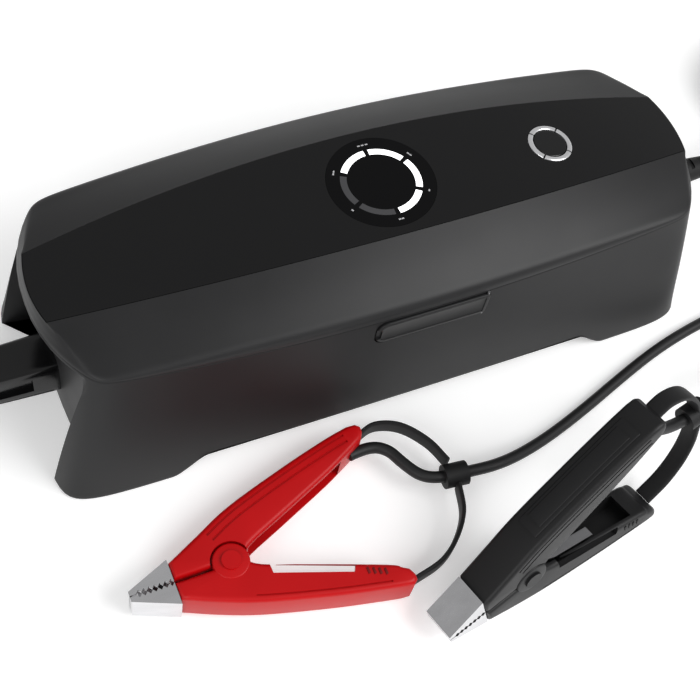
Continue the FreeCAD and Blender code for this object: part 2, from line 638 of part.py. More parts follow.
node(feature("gland_body", gland_shape()), "lead_gland")
nut = doc.addObject("Part::Prism", "nut")
nut.Polygon = 6
nut.setExpression("Circumradius", cells("@gland_radius + 4"))
nut.Height = 4.6
nut.Placement = Placement(Vector(), Rotation(Y_AXIS, 90))
place(nut, "@end_wall_x - @wall - 5", "0", "@gland_height")
nut_bore = cylinder("nut_bore", "@gland_radius", "9", "@end_wall_x - @wall - 7", "0", "@gland_height",
                    Rotation(Y_AXIS, 90))
node(boolean("Cut", "gland_nut_body", nut, nut_bore), "gland_nut")

# ---------------------------------------------------------------- clamps, drawn about the pivot
# u runs to the handles' tails, v to the upper handle and w along the pivot pin.
UPPER = [(-20.2, 6.9), (-8.0, 13.0), (6.0, 19.8), (29.0, 27.4), (48.0, 32.8), (60.0, 35.2), (63.0, 33.6),
         (61.6, 28.6), (51.6, 23.2), (43.6, 19.3), (23.1, 10.3), (9.6, 4.4), (4.6, 0.6), (-20.2, 0.6)]
LOWER = [(-20.2, 6.9), (-8.0, 12.4), (6.0, 17.6), (29.0, 23.8), (46.0, 27.6), (55.4, 29.4), (58.4, 28.0),
         (57.4, 23.6), (50.5, 19.5), (23.0, 9.2), (9.6, 4.2), (4.6, 0.6), (-20.2, 0.6)]
UPPER_CHANNEL = [(7.5, 3.0), (12.0, 16.0), (29.0, 23.6), (46.0, 28.6), (52.0, 29.4), (54.0, 26.0),
                 (44.6, 16.0), (23.1, 4.0)]
LOWER_CHANNEL = [(7.5, 3.0), (12.0, 14.5), (29.0, 20.4), (44.0, 24.2), (49.0, 25.0), (50.5, 22.0),
                 (43.6, 13.0), (23.1, 3.0)]
LOWER_WINDOW = [(12.0, 5.2), (40.0, 15.8), (38.6, 18.4), (12.0, 9.0)]
SPRING_LEG = [(2.0, 3.0), (14.0, 13.0), (32.0, 19.2), (32.2, 18.4), (14.4, 12.2), (2.9, 2.4)]
SPRING_SLOT = [(0.6, 1.4), (0.6, 2.4), (13.6, 13.9), (33.0, 20.4), (33.0, 17.4), (15.0, 11.4), (3.4, 1.4)]
JAW_TANG = [(-20.4, 6.0), (-12.0, 6.0), (-12.0, 5.0), (-20.4, 5.0)]


def slab(points, half, side=1):
    """A flat profile, mirrored for the lower handle, as a solid centred on w = 0."""
    wire = Part.makePolygon([Vector(a, side * b, -half) for a, b in points + points[:1]])
    return Part.Face(wire).extrude(Vector(0, 0, 2 * half))


def disc(radius, low, high):
    return Part.makeCylinder(radius, high - low, Vector(0, 0, low))


def handle_shape(side):
    """A handle that is a channel open to the other handle. side is 1 for the upper one."""
    half, wall, tongue = v("clamp_width") / 2, v("handle_wall"), v("tongue_width") / 2
    radius, gap = v("boss_outer"), v("moving_gap")
    body = slab(UPPER if side > 0 else LOWER, half, side)
    body = body.cut(slab(UPPER_CHANNEL if side > 0 else LOWER_CHANNEL, half - wall, side))
    around = disc(radius + gap + 0.4, -half - 1, half + 1)
    if side > 0:
        # the upper handle ends in a hollow tongue that lies between the lower handle's cheeks
        reach = tongue - gap / 2
        body = body.cut(around.cut(disc(radius + 2, -reach, reach)))
        body = body.fuse(disc(radius, -reach, reach)).cut(disc(radius - 1.6, -2.6, 2.6))
        body = body.cut(slab(SPRING_SLOT, 2.3, -1))
        bore = v("pivot_radius")
        entry = Part.makeCylinder(v("single_lead") / 2, 16, Vector(50.5, 25.6, 0), Vector(1, 0.15, 0))
        body = body.cut(entry)
    else:
        cheeks = disc(radius, -half, half).cut(disc(radius + 1, -tongue - gap / 2, tongue + gap / 2))
        body = body.cut(disc(radius + gap + 0.4, -tongue - gap / 2, tongue + gap / 2)).fuse(cheeks)
        bore = v("pivot_radius") + v("pin_clearance")
        body = body.cut(slab(LOWER_WINDOW, half + 1, side))
    body = body.cut(slab(JAW_TANG, v("tang_half_width"), side)).cut(slab(SPRING_SLOT, 2.3, side))
    return body.cut(disc(bore, -half - 2, half + 2)).removeSplitter()


def jaw_shape(side):
    """A pressed steel jaw: a sloping back with two toothed cheeks."""
    half, sheet = v("jaw_width") / 2, v("jaw_sheet")
    back = [(-36.0, 1.9), (-20.4, 8.4), (-20.4, 8.4 - sheet), (-35.4, 0.9), (-36.0, 0.9)]
    cheek = [(-36.0, 1.9), (-20.4, 8.4), (-20.4, 0.2)]
    teeth = int(15 / v("tooth_pitch"))
    x = -20.4
    for k in range(teeth):
        cheek += [(x - v("tooth_pitch") / 2, 1.3), (x - v("tooth_pitch"), 0.2)]
        x -= v("tooth_pitch")
    cheek += [(-36.0, 0.2)]
    hollow = [(-34.8, -1), (-34.8, 1.0), (-19, 9 - sheet), (-19, -1)]
    sides = slab(cheek, half, side).cut(slab(hollow, half - sheet, side))
    body = slab(back, half, side).fuse(sides)
    tang = slab(JAW_TANG, v("tang_half_width"), side)
    arm = slab([(-21.6, 6.0), (-20.4, 6.0), (-20.4, 5.0), (-21.6, 5.0)], half - 0.2, side)
    return body.fuse(arm).fuse(tang).removeSplitter()


def leaf_spring_shape():
    """A sprung strip that lies along both channels and loops round the pivot."""
    loop = disc(v("pivot_radius") + 2.2, -2.0, 2.0).cut(disc(v("pivot_radius") + 1.3, -3, 3))
    legs = [slab(SPRING_LEG, 2.0, s) for s in (1, -1)]
    return loop.multiFuse(legs).removeSplitter()


def band(points, width, thick):
    """A flat band that follows a smooth curve in the clamp's plane."""
    middle = Part.BSplineCurve()
    middle.interpolate([Vector(a, b, -width / 2) for a, b in points])
    edges = []
    steps = 3 * len(points)
    for side in (-1, 1):
        offset = []
        for k in range(steps + 1):
            at = middle.FirstParameter + (middle.LastParameter - middle.FirstParameter) * k / steps
            offset.append(middle.value(at) + middle.tangent(at)[0].cross(Z_AXIS) * (side * thick / 2))
        curve = Part.BSplineCurve()
        curve.interpolate(offset)
        edges.append((curve.toShape(), offset[0], offset[-1]))
    ends = [Part.LineSegment(edges[0][k], edges[1][k]).toShape() for k in (1, 2)]
    border = Part.Wire(Part.sortEdges([edges[0][0], ends[1], edges[1][0], ends[0]])[0])
    return Part.Face(border).extrude(Vector(0, 0, width))


RED_STRAP = [(62.6, 31.4), (70.0, 34.4), (79.5, 30.8), (86.8, 21.6), (90.4, 11.4)]
RED_STRAP_END = [(90.2, 1.4), (87.0, -9.0), (80.0, -17.6), (71.0, -23.6), (59.4, -26.6)]
BLACK_STRAP = [(62.6, 31.4), (69.0, 33.4), (76.6, 29.6), (81.4, 22.0), (83.4, 13.2)]
BLACK_STRAP_END = [(83.2, 3.2), (81.0, -7.0), (76.0, -16.0), (68.4, -22.6), (59.4, -26.0)]


# Where each strap's collar goes round the lead, and its turn in the clamp's plane, in degrees.
RED_COLLAR, RED_COLLAR_TURN = Vector(91.0, 6.0, 0), -6.0
BLACK_COLLAR, BLACK_COLLAR_TURN = Vector(83.2, 8.0, 0), -8.0
# Where the lead runs into the upper handle's tail.
TAIL = Vector(56.6, 26.4, 0)


def collar_shape(at, turn):
    """The ring where the strap goes round the lead."""
    length = v("collar_length")
    ring = Part.makeCylinder(v("collar_outer"), length, Vector(-length / 2, 0, 0), X_AXIS)
    bore = Part.makeCylinder(v("single_lead") / 2, length + 2, Vector(-length / 2 - 1, 0, 0), X_AXIS)
    return ring.cut(bore).transformed(Placement(at, Rotation(Z_AXIS, turn)).toMatrix(), True)


def clamp(colour, placement, strap, strap_end, collar_at, turn):
    """All the pieces of one clamp. turn swings the collar in the clamp's plane to suit the lead."""
    half = v("clamp_width") / 2
    pin = disc(v("pivot_radius"), -half - 0.3, half + 0.3)
    heads = [disc(v("pivot_radius") + 1.2, low, low + 1.1) for low in (half + 0.1, -half - 1.2)]
    pin = pin.multiFuse(heads).removeSplitter()
    pieces = [("handle_upper", handle_shape(1)), ("handle_lower", handle_shape(-1)),
              ("jaw_upper", jaw_shape(1)), ("jaw_lower", jaw_shape(-1)),
              ("pivot_pin", pin), ("spring", leaf_spring_shape()),
              ("strap_upper", band(strap, v("strap_width"), v("strap_thick"))),
              ("strap_lower", band(strap_end, v("strap_width"), v("strap_thick"))),
              ("collar", collar_shape(collar_at, turn))]
    for name, shape in pieces:
        label = "%s_clamp_%s" % (colour, name)
        node(feature(label + "_body", shape, placement), label)


RED_PLACE = Placement(Vector(-87, -92, 9), Rotation())
BLACK_TURN = Rotation(Z_AXIS, 14.5).multiply(Rotation(Y_AXIS, -13.5)).multiply(Rotation(X_AXIS, 77.0))
# The black clamp leans on its lower handle, so its height follows from that handle's lowest corner.
lowest = min(BLACK_TURN.multVec(vertex.Point).z for vertex in handle_shape(-1).Vertexes)
BLACK_PLACE = Placement(Vector(7.0, -128.0, -lowest), BLACK_TURN)
print("the black clamp's pivot is at %.3f %.3f %.3f" % tuple(BLACK_PLACE.Base))
clamp("red", RED_PLACE, RED_STRAP, RED_STRAP_END, RED_COLLAR, RED_COLLAR_TURN)
clamp("black", BLACK_PLACE, BLACK_STRAP, BLACK_STRAP_END, BLACK_COLLAR, BLACK_COLLAR_TURN)

# ---------------------------------------------------------------- leads
def through_collar(placement, collar_at, turn):
    """The lead's two points at the collar's mouths, the splitter's side first."""
    along = Rotation(Z_AXIS, turn).multVec(X_AXIS) * (v("collar_length") / 2 + 1)
    return [tuple(placement.multVec(collar_at + along)), tuple(placement.multVec(collar_at - along))]


REST = v("main_lead") / 2 + 0.05
LEAD_REST = v("single_lead") / 2 + 0.25
YOKE_MIDDLE = v("splitter_height") / 2 + 0.1
COIL_IN = (v("coil_x") - v("coil_radius"), v("coil_y"), REST)
COIL_OUT = (v("coil_x") + v("coil_radius"), v("coil_y"), REST + v("coil_turns") * v("main_lead"))
YOKE_IN = (v("splitter_x") + v("splitter_length") / 2, v("splitter_y"), YOKE_MIDDLE)
YOKE_RED = (v("splitter_x") - v("splitter_length") / 2, v("splitter_y") + v("lead_pitch") / 2, YOKE_MIDDLE)
YOKE_BLACK = (v("splitter_x") - v("splitter_length") / 2, v("splitter_y") - v("lead_pitch") / 2, YOKE_MIDDLE)
MAIN_IN = [(v("gland_reach"), 0, v("gland_height")), (181, 0.4, v("gland_height") - 1), (196, 5, 26.5),
           (207.5, 15.5, 17), (213.5, 28, 8), COIL_IN]
MAIN_OUT = [COIL_OUT, (285, 24, 18.5), (283.5, 6, 12.5), (278, -13, 6.5), (267, -31, 3.6),
            (251, -45.5, 3.5), (232, -54.5, 4.2), YOKE_IN]
RED_LEAD = [YOKE_RED, (169, -53.2, 3.2), (150, -53.6, LEAD_REST), (130, -56.4, LEAD_REST),
            (110, -61, LEAD_REST), (90, -67.6, LEAD_REST), (70, -74.8, LEAD_REST), (50, -81.2, 2.8),
            (34, -85.2, 4.6), (21, -87.2, 7.6)]
RED_LEAD += through_collar(RED_PLACE, RED_COLLAR, RED_COLLAR_TURN)
RED_LEAD += [(-8.4, -82.4, 9.1), (-12.6, -75, 9), (-15.6, -67.8, 9), (-22.4, -64.4, 9)]
RED_LEAD.append(tuple(RED_PLACE.multVec(TAIL)))
BLACK_LEAD = [YOKE_BLACK, (171, -66.5, 3.4), (157, -74.5, 4.8), (145, -82, 10.5), (132, -88.5, 19.5),
              (119, -94.2, 29.5), (105, -99.8, 39)]
BLACK_LEAD += through_collar(BLACK_PLACE, BLACK_COLLAR, BLACK_COLLAR_TURN)
BLACK_LEAD += [(65.5, -109.4, 47.6), tuple(BLACK_PLACE.multVec(TAIL))]


def lead(points, diameter, label):
    """A round tube along straight runs joined by tangent arcs as large as the runs allow."""
    spots = [Vector(*p) for p in points]
    edges = []
    at = spots[0]
    radii = []
    for k in range(1, len(spots) - 1):
        back, ahead = spots[k - 1] - spots[k], spots[k + 1] - spots[k]
        run = min(back.Length, ahead.Length)
        back.normalize()
        ahead.normalize()
        half_turn = (math.pi - back.getAngle(ahead)) / 2
        reach = 0.45 * run
        radii.append(reach / math.tan(half_turn))
        start, end = spots[k] + back * reach, spots[k] + ahead * reach
        bisector = (back + ahead).normalize()
        centre = spots[k] + bisector * (reach / math.sin(half_turn) if half_turn > 1e-9 else 0)
        middle = centre - bisector * radii[-1]
        edges.append(Part.LineSegment(at, start).toShape())
        edges.append(Part.Arc(start, middle, end).toShape())
        at = end
    edges.append(Part.LineSegment(at, spots[-1]).toShape())
    path = Part.Wire(edges)
    ring = Part.Wire([Part.Circle(spots[0], spots[1] - spots[0], diameter / 2).toShape()])
    tube = path.makePipeShell([ring], True, False)
    ideal = math.pi * diameter ** 2 / 4 * path.Length
    print("%s: length %.0f, radii %s, volume %.3f of its section times its length"
          % (label, path.Length, " ".join("%.0f" % r for r in radii), tube.Volume / ideal))
    return node(feature(label + "_tube", tube), label)


lead(MAIN_IN, v("main_lead"), "main_lead_start")
lead(MAIN_OUT, v("main_lead"), "main_lead_end")
lead(RED_LEAD, v("single_lead"), "red_lead")
lead(BLACK_LEAD, v("single_lead"), "black_lead")
coil_height = "@main_lead * (@coil_turns + 1)"
ring_out = cylinder("coil_outer", "@coil_radius + @main_lead / 2 + 1", coil_height, "@coil_x", "@coil_y",
                    "0.05")
ring_in = cylinder("coil_inner", "@coil_radius - @main_lead / 2 - 1", "40", "@coil_x", "@coil_y", "-5")
node(boolean("Cut", "coil", ring_out, ring_in), "main_lead_coil")

yoke = rectangle_body("yoke", "@splitter_length", "@splitter_width", "@splitter_height", "@splitter_x",
                      "@splitter_y", "0.1", "3")
node(yoke, "lead_splitter")

# ---------------------------------------------------------------- build, check and write
doc.recompute()
for obj in doc.Objects:
    bad = [s for s in obj.State if s in ("Invalid", "Error")]
    if bad:
        raise SystemExit("%s (%s) is %s" % (obj.Label, obj.TypeId, bad))
for obj in NODES:
    if obj.Shape.isNull() or not obj.Shape.isValid() or obj.Shape.Volume <= 0:
        raise SystemExit("%s has no valid shape" % obj.Label)
os.makedirs("parts", exist_ok=True)
for obj in NODES:
    obj.Shape.exportStep("parts/%s.step" % obj.Label)
print("%d sub-parts written" % len(NODES))
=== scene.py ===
"""Visual model of the portable battery charger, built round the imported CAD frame.

Shapes are written in millimetres and turned into metres when a mesh or curve is made.
"""
import json
import math

import bpy
import bmesh
import numpy as np
from mathutils import Matrix, Vector


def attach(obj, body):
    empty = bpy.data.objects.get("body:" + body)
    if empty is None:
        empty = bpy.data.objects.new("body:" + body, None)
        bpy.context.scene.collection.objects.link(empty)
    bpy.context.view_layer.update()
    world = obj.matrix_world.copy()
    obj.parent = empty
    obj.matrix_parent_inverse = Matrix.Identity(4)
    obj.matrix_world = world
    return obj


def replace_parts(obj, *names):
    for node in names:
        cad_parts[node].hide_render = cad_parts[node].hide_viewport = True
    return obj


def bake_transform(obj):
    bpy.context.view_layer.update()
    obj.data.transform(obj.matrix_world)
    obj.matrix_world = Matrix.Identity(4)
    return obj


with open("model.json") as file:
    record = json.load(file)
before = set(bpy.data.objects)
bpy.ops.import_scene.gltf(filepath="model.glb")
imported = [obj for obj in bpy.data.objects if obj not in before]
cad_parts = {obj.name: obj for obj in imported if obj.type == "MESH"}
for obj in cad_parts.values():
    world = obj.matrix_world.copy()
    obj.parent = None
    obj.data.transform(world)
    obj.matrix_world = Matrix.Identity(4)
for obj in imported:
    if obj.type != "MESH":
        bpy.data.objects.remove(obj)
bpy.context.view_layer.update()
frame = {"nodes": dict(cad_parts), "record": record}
MM = 0.001
scene = bpy.context.scene
NODES = frame["nodes"]

# ---------------------------------------------------------------- camera
# The camera's axes and place, fitted to the case's corners.
RIGHT = Vector((0.91032677, -0.39176245, 0.13351913))
UP = Vector((0.27230653, 0.80984445, 0.51961633))
BACK = Vector((-0.31169589, -0.43666252, 0.84390255))
CAMERA_AT = Vector((-164.04, -236.73, 421.07)) * MM
camera_data = bpy.data.cameras.new("camera")
camera_data.lens = 64.49
camera_data.sensor_width = 36.0
camera_data.clip_start = 0.01
camera = bpy.data.objects.new("camera", camera_data)
scene.collection.objects.link(camera)
turn = Matrix((RIGHT, UP, BACK)).transposed().to_4x4()
camera.matrix_world = Matrix.Translation(CAMERA_AT) @ turn
scene.camera = camera


# ---------------------------------------------------------------- materials
def srgb(text):
    """A linear colour from its hexadecimal sRGB value."""
    parts = [int(text[k:k + 2], 16) / 255 for k in (0, 2, 4)]
    return [c / 12.92 if c <= 0.04045 else ((c + 0.055) / 1.055) ** 2.4 for c in parts]


def material(name, colour, roughness, metallic=0.0, mottle=0.08, spread=0.05, grain=0.0,
             grain_scale=1400.0, glow=0.0, cloud_scale=45.0, stretch=None, shine=0.5):
    """Principled plastic, rubber or metal with cloudy colour, uneven roughness and a fine grain."""
    made = bpy.data.materials.new(name)
    made.use_nodes = True
    tree = made.node_tree
    shader = tree.nodes["Principled BSDF"]
    shader.inputs["Metallic"].default_value = metallic
    shader.inputs["Specular IOR Level"].default_value = shine
    coords = tree.nodes.new("ShaderNodeTexCoord")
    source = coords.outputs["Object"]
    if stretch:
        mapping = tree.nodes.new("ShaderNodeMapping")
        mapping.inputs["Scale"].default_value = stretch
        tree.links.new(source, mapping.inputs["Vector"])
        source = mapping.outputs["Vector"]
    cloud = tree.nodes.new("ShaderNodeTexNoise")
    cloud.inputs["Scale"].default_value = cloud_scale
    cloud.inputs["Detail"].default_value = 4.0
    tree.links.new(source, cloud.inputs["Vector"])
    ramp = tree.nodes.new("ShaderNodeValToRGB")
    low = [c * (1 - mottle) for c in colour]
    high = [min(1.0, c * (1 + mottle)) for c in colour]
    ramp.color_ramp.elements[0].position = 0.3
    ramp.color_ramp.elements[1].position = 0.7
    ramp.color_ramp.elements[0].color = low + [1.0]
    ramp.color_ramp.elements[1].color = high + [1.0]
    tree.links.new(cloud.outputs["Fac"], ramp.inputs["Fac"])
    tree.links.new(ramp.outputs["Color"], shader.inputs["Base Color"])
    span = tree.nodes.new("ShaderNodeMapRange")
    span.inputs["To Min"].default_value = max(0.02, roughness - spread)
    span.inputs["To Max"].default_value = min(1.0, roughness + spread)
    tree.links.new(cloud.outputs["Fac"], span.inputs["Value"])
    tree.links.new(span.outputs["Result"], shader.inputs["Roughness"])
    if grain:
        fine = tree.nodes.new("ShaderNodeTexNoise")
        fine.inputs["Scale"].default_value = grain_scale
        fine.inputs["Detail"].default_value = 2.0
        tree.links.new(source, fine.inputs["Vector"])
        bump = tree.nodes.new("ShaderNodeBump")
        bump.inputs["Strength"].default_value = grain
        bump.inputs["Distance"].default_value = 0.0002
        tree.links.new(fine.outputs["Fac"], bump.inputs["Height"])
        tree.links.new(bump.outputs["Normal"], shader.inputs["Normal"])
    if glow:
        shader.inputs["Emission Color"].default_value = (1.0, 1.0, 1.0, 1.0)
        shader.inputs["Emission Strength"].default_value = glow
    return made


CASE = material("case_satin", srgb("171718"), 0.46, grain=0.10, grain_scale=1800, shine=0.24)
COVER = material("cover_satin", srgb("1b1b1c"), 0.42, grain=0.08, grain_scale=1800, shine=0.30)
GLOSS = material("panel_gloss", srgb("0b0b0c"), 0.2, mottle=0.05, spread=0.02, shine=0.3)
LENS = material("lens_gloss", srgb("050506"), 0.12, mottle=0.03, spread=0.02, shine=0.14)
LIT = material("light_on", srgb("f4f6f8"), 0.4, mottle=0.02, glow=1.3)
DIM = material("light_off", srgb("3c3c3e"), 0.4, mottle=0.1)
SILVER = material("ring_silver", srgb("e4e4e6"), 0.24, metallic=0.85, mottle=0.05,
                  stretch=(1.0, 1.0, 8.0))
BLACK_GLOSS = material("button_gloss", srgb("0d0d0e"), 0.16, mottle=0.05, spread=0.03, shine=0.4)
BLACK = material("moulded_black", srgb("121213"), 0.46, grain=0.12, grain_scale=2200, shine=0.32)
RUBBER = material("rubber_black", srgb("121213"), 0.58, grain=0.16, grain_scale=2600, shine=0.3)
LEAD = material("lead_sleeve", srgb("161617"), 0.50, grain=0.12, grain_scale=3000, shine=0.35)
RED = material("clamp_red", srgb("b5060b"), 0.38, mottle=0.05, grain=0.07, grain_scale=2200,
               shine=0.22)
RED_DEEP = material("clamp_red_groove", srgb("6a0305"), 0.5, mottle=0.06, grain=0.05, shine=0.3)
CHROME = material("jaw_chrome", srgb("d2d2d4"), 0.14, metallic=1.0, mottle=0.05, spread=0.05,
                  cloud_scale=120.0, stretch=(0.4, 2.0, 2.0))
STEEL = material("plated_steel", srgb("9c9c9e"), 0.32, metallic=1.0, mottle=0.08, cloud_scale=200.0)
BOARD = material("board_green", srgb("17523a"), 0.42, mottle=0.15, grain=0.1, cloud_scale=300.0)
WRAP = material("cell_wrap", srgb("31507c"), 0.33, mottle=0.08)
AMBER = material("fuse_amber", srgb("d5762a"), 0.25, mottle=0.06)
ALUMINIUM = material("sink_aluminium", srgb("c9cacc"), 0.36, metallic=1.0, mottle=0.06,
                     stretch=(0.3, 4.0, 4.0))
MARK = material("print_grey", srgb("b4b4b6"), 0.5, mottle=0.04)

SLOT_LOOKS = {
    "case_black": CASE, "cover_black": COVER, "panel_gloss": GLOSS, "lens_black": LENS, "light_on": LIT,
    "light_off": DIM, "ring_silver": SILVER, "button_black": BLACK_GLOSS, "board_green": BOARD,
    "part_black": BLACK, "steel": STEEL, "sink_metal": ALUMINIUM, "fuse_orange": AMBER, "cell_wrap": WRAP,
    "rubber_black": RUBBER, "lead_black": LEAD, "flap_black": BLACK, "clamp_red": RED, "clamp_black": BLACK,
    "jaw_chrome": CHROME,
}
slot_of = {row["node"]: row["material_slot"] for row in frame["record"]["subparts"]}
for node_name, node_object in NODES.items():
    node_object.data.materials.clear()
    node_object.data.materials.append(SLOT_LOOKS[slot_of[node_name]])


def soften(node_name, width, segments=2):
    """Rounds the edges of a CAD node that stays in view."""
    bevel = NODES[node_name].modifiers.new("edge", "BEVEL")
    bevel.width = width * MM
    bevel.segments = segments
    bevel.limit_method = "ANGLE"
    bevel.angle_limit = math.radians(40)


# ---------------------------------------------------------------- mesh helpers
SHARP_TURN = math.radians(38)


def shade(mesh):
    """Smooth shading, with an edge kept sharp where the surface turns by more than SHARP_TURN."""
    mesh.polygons.foreach_set("use_smooth", [True] * len(mesh.polygons))
    mesh.set_sharp_from_angle(angle=SHARP_TURN)


def piece(name, points, faces, look, body="charger"):
    """A mesh object from points in millimetres, with its doubles merged and its normals outward."""
    mesh = bpy.data.meshes.new(name)
    mesh.from_pydata([tuple(float(c) * MM for c in p) for p in points], [], faces)
    shape = bmesh.new()
    shape.from_mesh(mesh)
    bmesh.ops.remove_doubles(shape, verts=shape.verts, dist=1e-6)
    bmesh.ops.dissolve_degenerate(shape, edges=shape.edges, dist=1e-7)
    bmesh.ops.recalc_face_normals(shape, faces=shape.faces)
    shape.to_mesh(mesh)
    shape.free()
    shade(mesh)
    mesh.materials.append(look)
    made = bpy.data.objects.new(name, mesh)
    scene.collection.objects.link(made)
    if body:
        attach(made, body)
    return made


def stack(rings, around=False):
    """Points and faces of equal rings joined one to the next, and the last to the first if around."""
    count = len(rings[0])
    points = [p for ring in rings for p in ring]
    faces = []
    for k in range(len(rings) if around else len(rings) - 1):
        a, b = k * count, ((k + 1) % len(rings)) * count
        for j in range(count):
            n = (j + 1) % count
            faces.append((a + j, a + n, b + n, b + j))
    return points, faces


def capped(rings):
    """Like stack, with both end rings closed by one face each."""
    points, faces = stack(rings)
    count = len(rings[0])
    faces.append(tuple(reversed(range(count))))
    faces.append(tuple(range(len(points) - count, len(points))))
    return points, faces


def smooth_line(points, per=6):
    """A Catmull-Rom line through the points."""
    spots = [np.array(p, float) for p in points]
    spots = [2 * spots[0] - spots[1]] + spots + [2 * spots[-1] - spots[-2]]
    line = []
    for k in range(1, len(spots) - 2):
        a, b, c, d = spots[k - 1:k + 3]
        for j in range(per):
            t = j / per
            line.append(0.5 * (2 * b + (c - a) * t + (2 * a - 5 * b + 4 * c - d) * t * t
                               + (3 * b - a - 3 * c + d) * t ** 3))
    line.append(spots[-2])
    return line


def inset_loop(loop, amount):
    """A closed flat loop moved inward by amount."""
    area = sum(loop[k - 1][0] * loop[k][1] - loop[k][0] * loop[k - 1][1] for k in range(len(loop)))
    sign = 1 if area > 0 else -1
    moved = []
    for k in range(len(loop)):
        before = np.array(loop[k]) - np.array(loop[k - 1])
        after = np.array(loop[(k + 1) % len(loop)]) - np.array(loop[k])
        before = before / max(np.linalg.norm(before), 1e-9)
        after = after / max(np.linalg.norm(after), 1e-9)
        normal = np.array([-(before + after)[1], (before + after)[0]])
        length = np.linalg.norm(normal)
        if length < 1e-6:
            moved.append(np.array(loop[k]))
            continue
        normal /= length
        square = max(0.5, float(np.dot(normal, np.array([-after[1], after[0]]))))
        moved.append(np.array(loop[k]) + sign * normal * amount / square)
    return moved


def rounded_slab(loop, low, high, radius, steps=3):
    """Rings of a flat loop extruded along its third axis, with rounded edges."""
    rings = []
    for k in range(steps + 1):
        angle = math.pi / 2 * k / steps
        ring = inset_loop(loop, radius * (1 - math.sin(angle)))
        rings.append([(p[0], p[1], low + radius * (1 - math.cos(angle))) for p in ring])
    for k in range(steps + 1):
        angle = math.pi / 2 * (1 - k / steps)
        ring = inset_loop(loop, radius * (1 - math.sin(angle)))
        rings.append([(p[0], p[1], high - radius * (1 - math.cos(angle))) for p in ring])
    return rings


def mapped(rings, place):
    """Rings moved by a function of a point."""
    return [[place(p) for p in ring] for ring in rings]


def merged(shapes):
    """One (points, faces) pair from several."""
    points, faces = [], []
    for some_points, some_faces in shapes:
        base = len(points)
        points += some_points
        faces += [tuple(base + k for k in face) for face in some_faces]
    return points, faces


def carve(target, cutters):
    """Cuts the cutters, which are (points, faces), out of the target for good."""
    tool = piece("cutter", *merged(cutters), BLACK, body=None)
    cut = target.modifiers.new("cut", "BOOLEAN")
    cut.operation = "DIFFERENCE"
    cut.solver = "EXACT"
    cut.use_self = False
    cut.object = tool
    bpy.context.view_layer.update()
    evaluated = target.evaluated_get(bpy.context.evaluated_depsgraph_get())
    mesh = bpy.data.meshes.new_from_object(evaluated)
    target.modifiers.clear()
    old = target.data
    target.data = mesh
    shade(mesh)
    bpy.data.meshes.remove(old)
    bpy.data.objects.remove(tool)
    return target


def arc_loop(radius, count, x=0.0, y=0.0):
    """A circle as a flat loop of count points."""
    return [(x + radius * math.cos(2 * math.pi * k / count), y + radius * math.sin(2 * math.pi * k / count))
            for k in range(count)]


def cuboid(x0, x1, y0, y1, z0, z1):
    loop = [(x0, y0), (x1, y0), (x1, y1), (x0, y1)]
    return capped([[(x, y, z) for x, y in loop] for z in (z0, z1)])


def round_bar(x, y, radius, z0, z1, count=40):
    return capped([[(a, b, z) for a, b in arc_loop(radius, count, x, y)] for z in (z0, z1)])


def oval(half_y, half_z, power, count=40):
    """A rounded rectangle as a superellipse, as (y, z) pairs."""
    loop = []
    for k in range(count):
        angle = 2 * math.pi * k / count
        c, s = math.cos(angle), math.sin(angle)
        loop.append((half_y * math.copysign(abs(c) ** (2 / power), c),
                     half_z * math.copysign(abs(s) ** (2 / power), s)))
    return loop


# ---------------------------------------------------------------- leads
def lead_curve(name, points, diameter, body="charger"):
    """A round NURBS lead through its control points, given in millimetres."""
    curve = bpy.data.curves.new(name, "CURVE")
    curve.dimensions = "3D"
    curve.bevel_depth = diameter / 2 * MM
    curve.bevel_resolution = 5
    curve.resolution_u = 8
    curve.use_fill_caps = True
    spline = curve.splines.new("NURBS")
    spline.points.add(len(points) - 1)
    for spot, p in zip(spline.points, points):
        spot.co = (p[0] * MM, p[1] * MM, p[2] * MM, 1.0)
    spline.order_u = 3
    spline.use_endpoint_u = True
    curve.materials.append(LEAD)
    made = bpy.data.objects.new(name, curve)
    scene.collection.objects.link(made)
    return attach(made, body)


MAIN_DIAMETER, SINGLE_DIAMETER = 6.5, 4.5
REST = MAIN_DIAMETER / 2 + 0.05  # height of the main lead's centre where it lies on the floor
COIL_CENTRE, COIL_RADIUS, COIL_TURNS = (250.0, 40.0), 35.0, 2.5
POINTS_PER_TURN = 16
MAIN_IN = [(165, 0, 33), (181, 0.4, 32), (196, 5, 26.5), (207.5, 15.5, 17), (213.5, 28, 8), (215, 40, REST)]
MAIN_OUT = [(285, 24, 18.5), (283.5, 6, 12.5), (278, -13, 6.5), (267, -31, 3.6), (251, -45.5, 3.5),
            (232, -54.5, 4.2), (212, -58, 4.6)]
coil = []
for k in range(1, int(COIL_TURNS * POINTS_PER_TURN) + 1):
    share = k / POINTS_PER_TURN
    angle = math.pi - 2 * math.pi * share
    coil.append((COIL_CENTRE[0] + COIL_RADIUS * math.cos(angle),
                 COIL_CENTRE[1] + COIL_RADIUS * math.sin(angle), REST + MAIN_DIAMETER * share))
RED_LEAD = [(186, -54.4, 4.6), (169, -53.2, 3.2), (150, -53.6, 2.5), (130, -56.4, 2.5), (110, -61, 2.5),
            (90, -67.6, 2.5), (70, -74.8, 2.5), (50, -81.2, 2.8), (34, -85.2, 4.6), (21, -87.2, 7.6),
            (9.47, -86.57, 9), (-1.47, -85.43, 9), (-8.4, -82.4, 9.1), (-12.6, -75, 9), (-15.6, -67.8, 9),
            (-22.4, -64.4, 9), (-30.4, -65.6, 9)]

